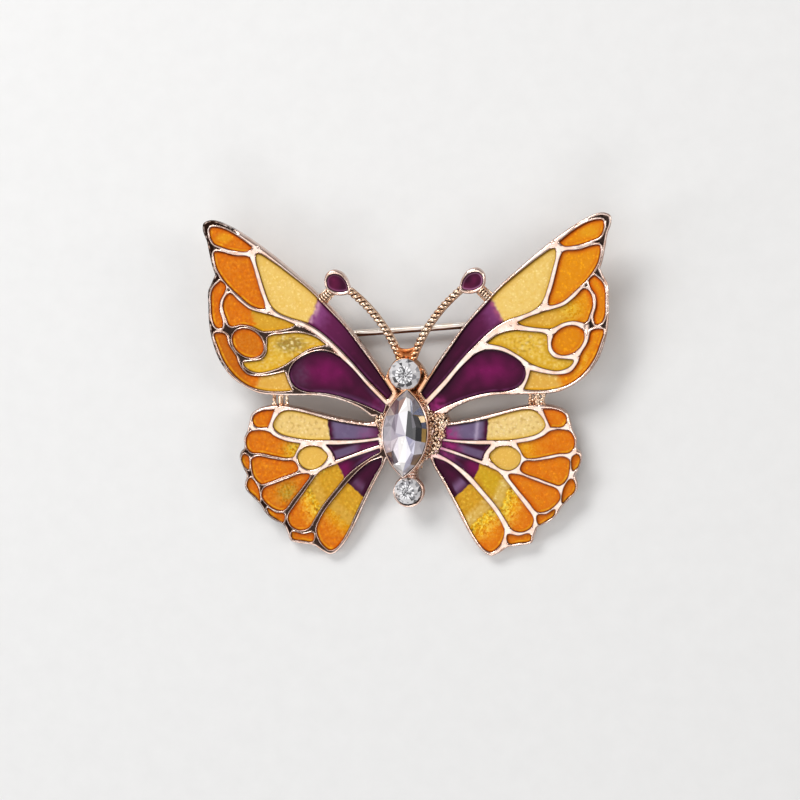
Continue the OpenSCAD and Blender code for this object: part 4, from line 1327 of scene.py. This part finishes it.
loops_metal = Build()
for side, word in ((1, "right"), (-1, "left")):
    own = [loop for loop in outlines(["casting"], LOOP_TOP) if loop[:, 0].mean() * side > 0]
    ring = smooth(max(own, key=lambda loop: abs(signed_area(loop))))
    node = word + "_antenna_enamel"
    cell = inset(smooth(FILL_LOOPS[node][0]), -lap(node))
    points, faces, patina, _ = relief([ring], [cell], [0.4], LOOP_TOP)
    loops_metal.add(points, faces, patina)
    # its walls into the cell and round the outside painted darker for shade
    cell_wall(loops_metal, cell, LOOP_TOP - RIM_DROP, 1.0, 0.7)
    skirt(loops_metal, ring, LOOP_TOP - EDGE_DROP, 0.4, 0.2)
    loops_metal.lid(*triangulate([inset(ring, 0.12)], []), 0.4, 0.1)
loops_metal.make("antenna_loops", GOLD)

# ---------------------------------------------------------------- pin, hinge and catch
for node in ("hinge_bracket", "hinge_rivet", "catch_housing", "safety_roller", "pin_stem"):
    ob = frame["nodes"][node]
    ob.data.materials.clear()
    ob.data.materials.append(PIN_GOLD)
    weld = ob.modifiers.new("weld", "WELD")
    weld.merge_threshold = 0.002 * MM
    if node != "pin_stem":
        bevel = ob.modifiers.new("bevel", "BEVEL")
        bevel.width = 0.07 * MM
        bevel.segments = 3
        bevel.limit_method = "ANGLE"
        bevel.angle_limit = math.radians(40)
        bevel.harden_normals = False

# ---------------------------------------------------------------- stage
paper = Shader("paper", Roughness=0.75)
speck = paper.texture("Noise", 400, 3, 0.6).outputs[0]
paper.feed("Base Color", paper.ramp(speck, (0.3, (0.735, 0.73, 0.72)), (0.7, (0.755, 0.75, 0.74))))
floor_mesh = bpy.data.meshes.new("floor")
floor_mesh.from_pydata([(-1, -1, 0), (1, -1, 0), (1, 1, 0), (-1, 1, 0)], [], [(0, 1, 2, 3)])
floor_mesh.materials.append(paper.material)
ob = put("floor", floor_mesh)


def panel(name, direction, reach, size, power, color=(1, 1, 1)):
    """A soft light that looks at the brooch from a direction."""
    light = bpy.data.lights.new(name, "AREA")
    light.shape = "RECTANGLE"
    light.size, light.size_y = size
    light.energy = power
    light.color = color
    ob = put(name, light)
    d = Vector(direction).normalized()
    ob.location = d * reach
    ob.rotation_euler = d.to_track_quat("Z", "Y").to_euler()


panel("overhead", (-0.14, -0.28, 0.95), 0.5, (0.40, 0.34), 0.50)
panel("key", (-0.5, 0.75, 0.85), 0.45, (0.24, 0.16), 1.28)
panel("side", (0.95, 0.1, 0.7), 0.45, (0.12, 0.30), 0.55, (1.0, 0.97, 0.94))
panel("front", (-0.1, -1.0, 0.75), 0.5, (0.30, 0.10), 0.43)
panel("left", (-1.0, -0.25, 0.55), 0.45, (0.10, 0.26), 0.38, (0.95, 0.97, 1.0))

sky = bpy.data.worlds.new("studio")
sky.use_nodes = True
bpy.context.scene.world = sky
background = sky.node_tree.nodes["Background"].inputs
background["Color"].default_value = (0.80, 0.81, 0.84, 1)
background["Strength"].default_value = 0.31

# ---------------------------------------------------------------- camera, fitted to the picture
# It looks down on the wings from afar: its turn against the wing plane, its distance and aim in
# millimetres, and how much of the picture one millimetre takes.
CAMERA_TURN = Vector([math.radians(a) for a in (7.42, -7.99, 0.73)])
CAMERA_AWAY, CAMERA_AIM, PICTURE_PER_MM = 180, (-0.97, -1.77, 0), 0.010825
turn = np.array(Matrix.Rotation(CAMERA_TURN.length, 3, CAMERA_TURN.normalized()))
centre = world(turn.T @ np.array([0, 0, CAMERA_AWAY]) + np.array(CAMERA_AIM))
camera = bpy.data.cameras.new("camera")
camera.sensor_width = 36
camera.lens = PICTURE_PER_MM * CAMERA_AWAY * camera.sensor_width
camera.clip_start, camera.clip_end = 0.01, 10
cam = put("camera", camera)
cam.matrix_world = Matrix([*np.c_[(turn @ BASIS).T, centre].tolist(), [0, 0, 0, 1]])
bpy.context.scene.camera = cam
bpy.context.scene.view_settings.view_transform = "Standard"
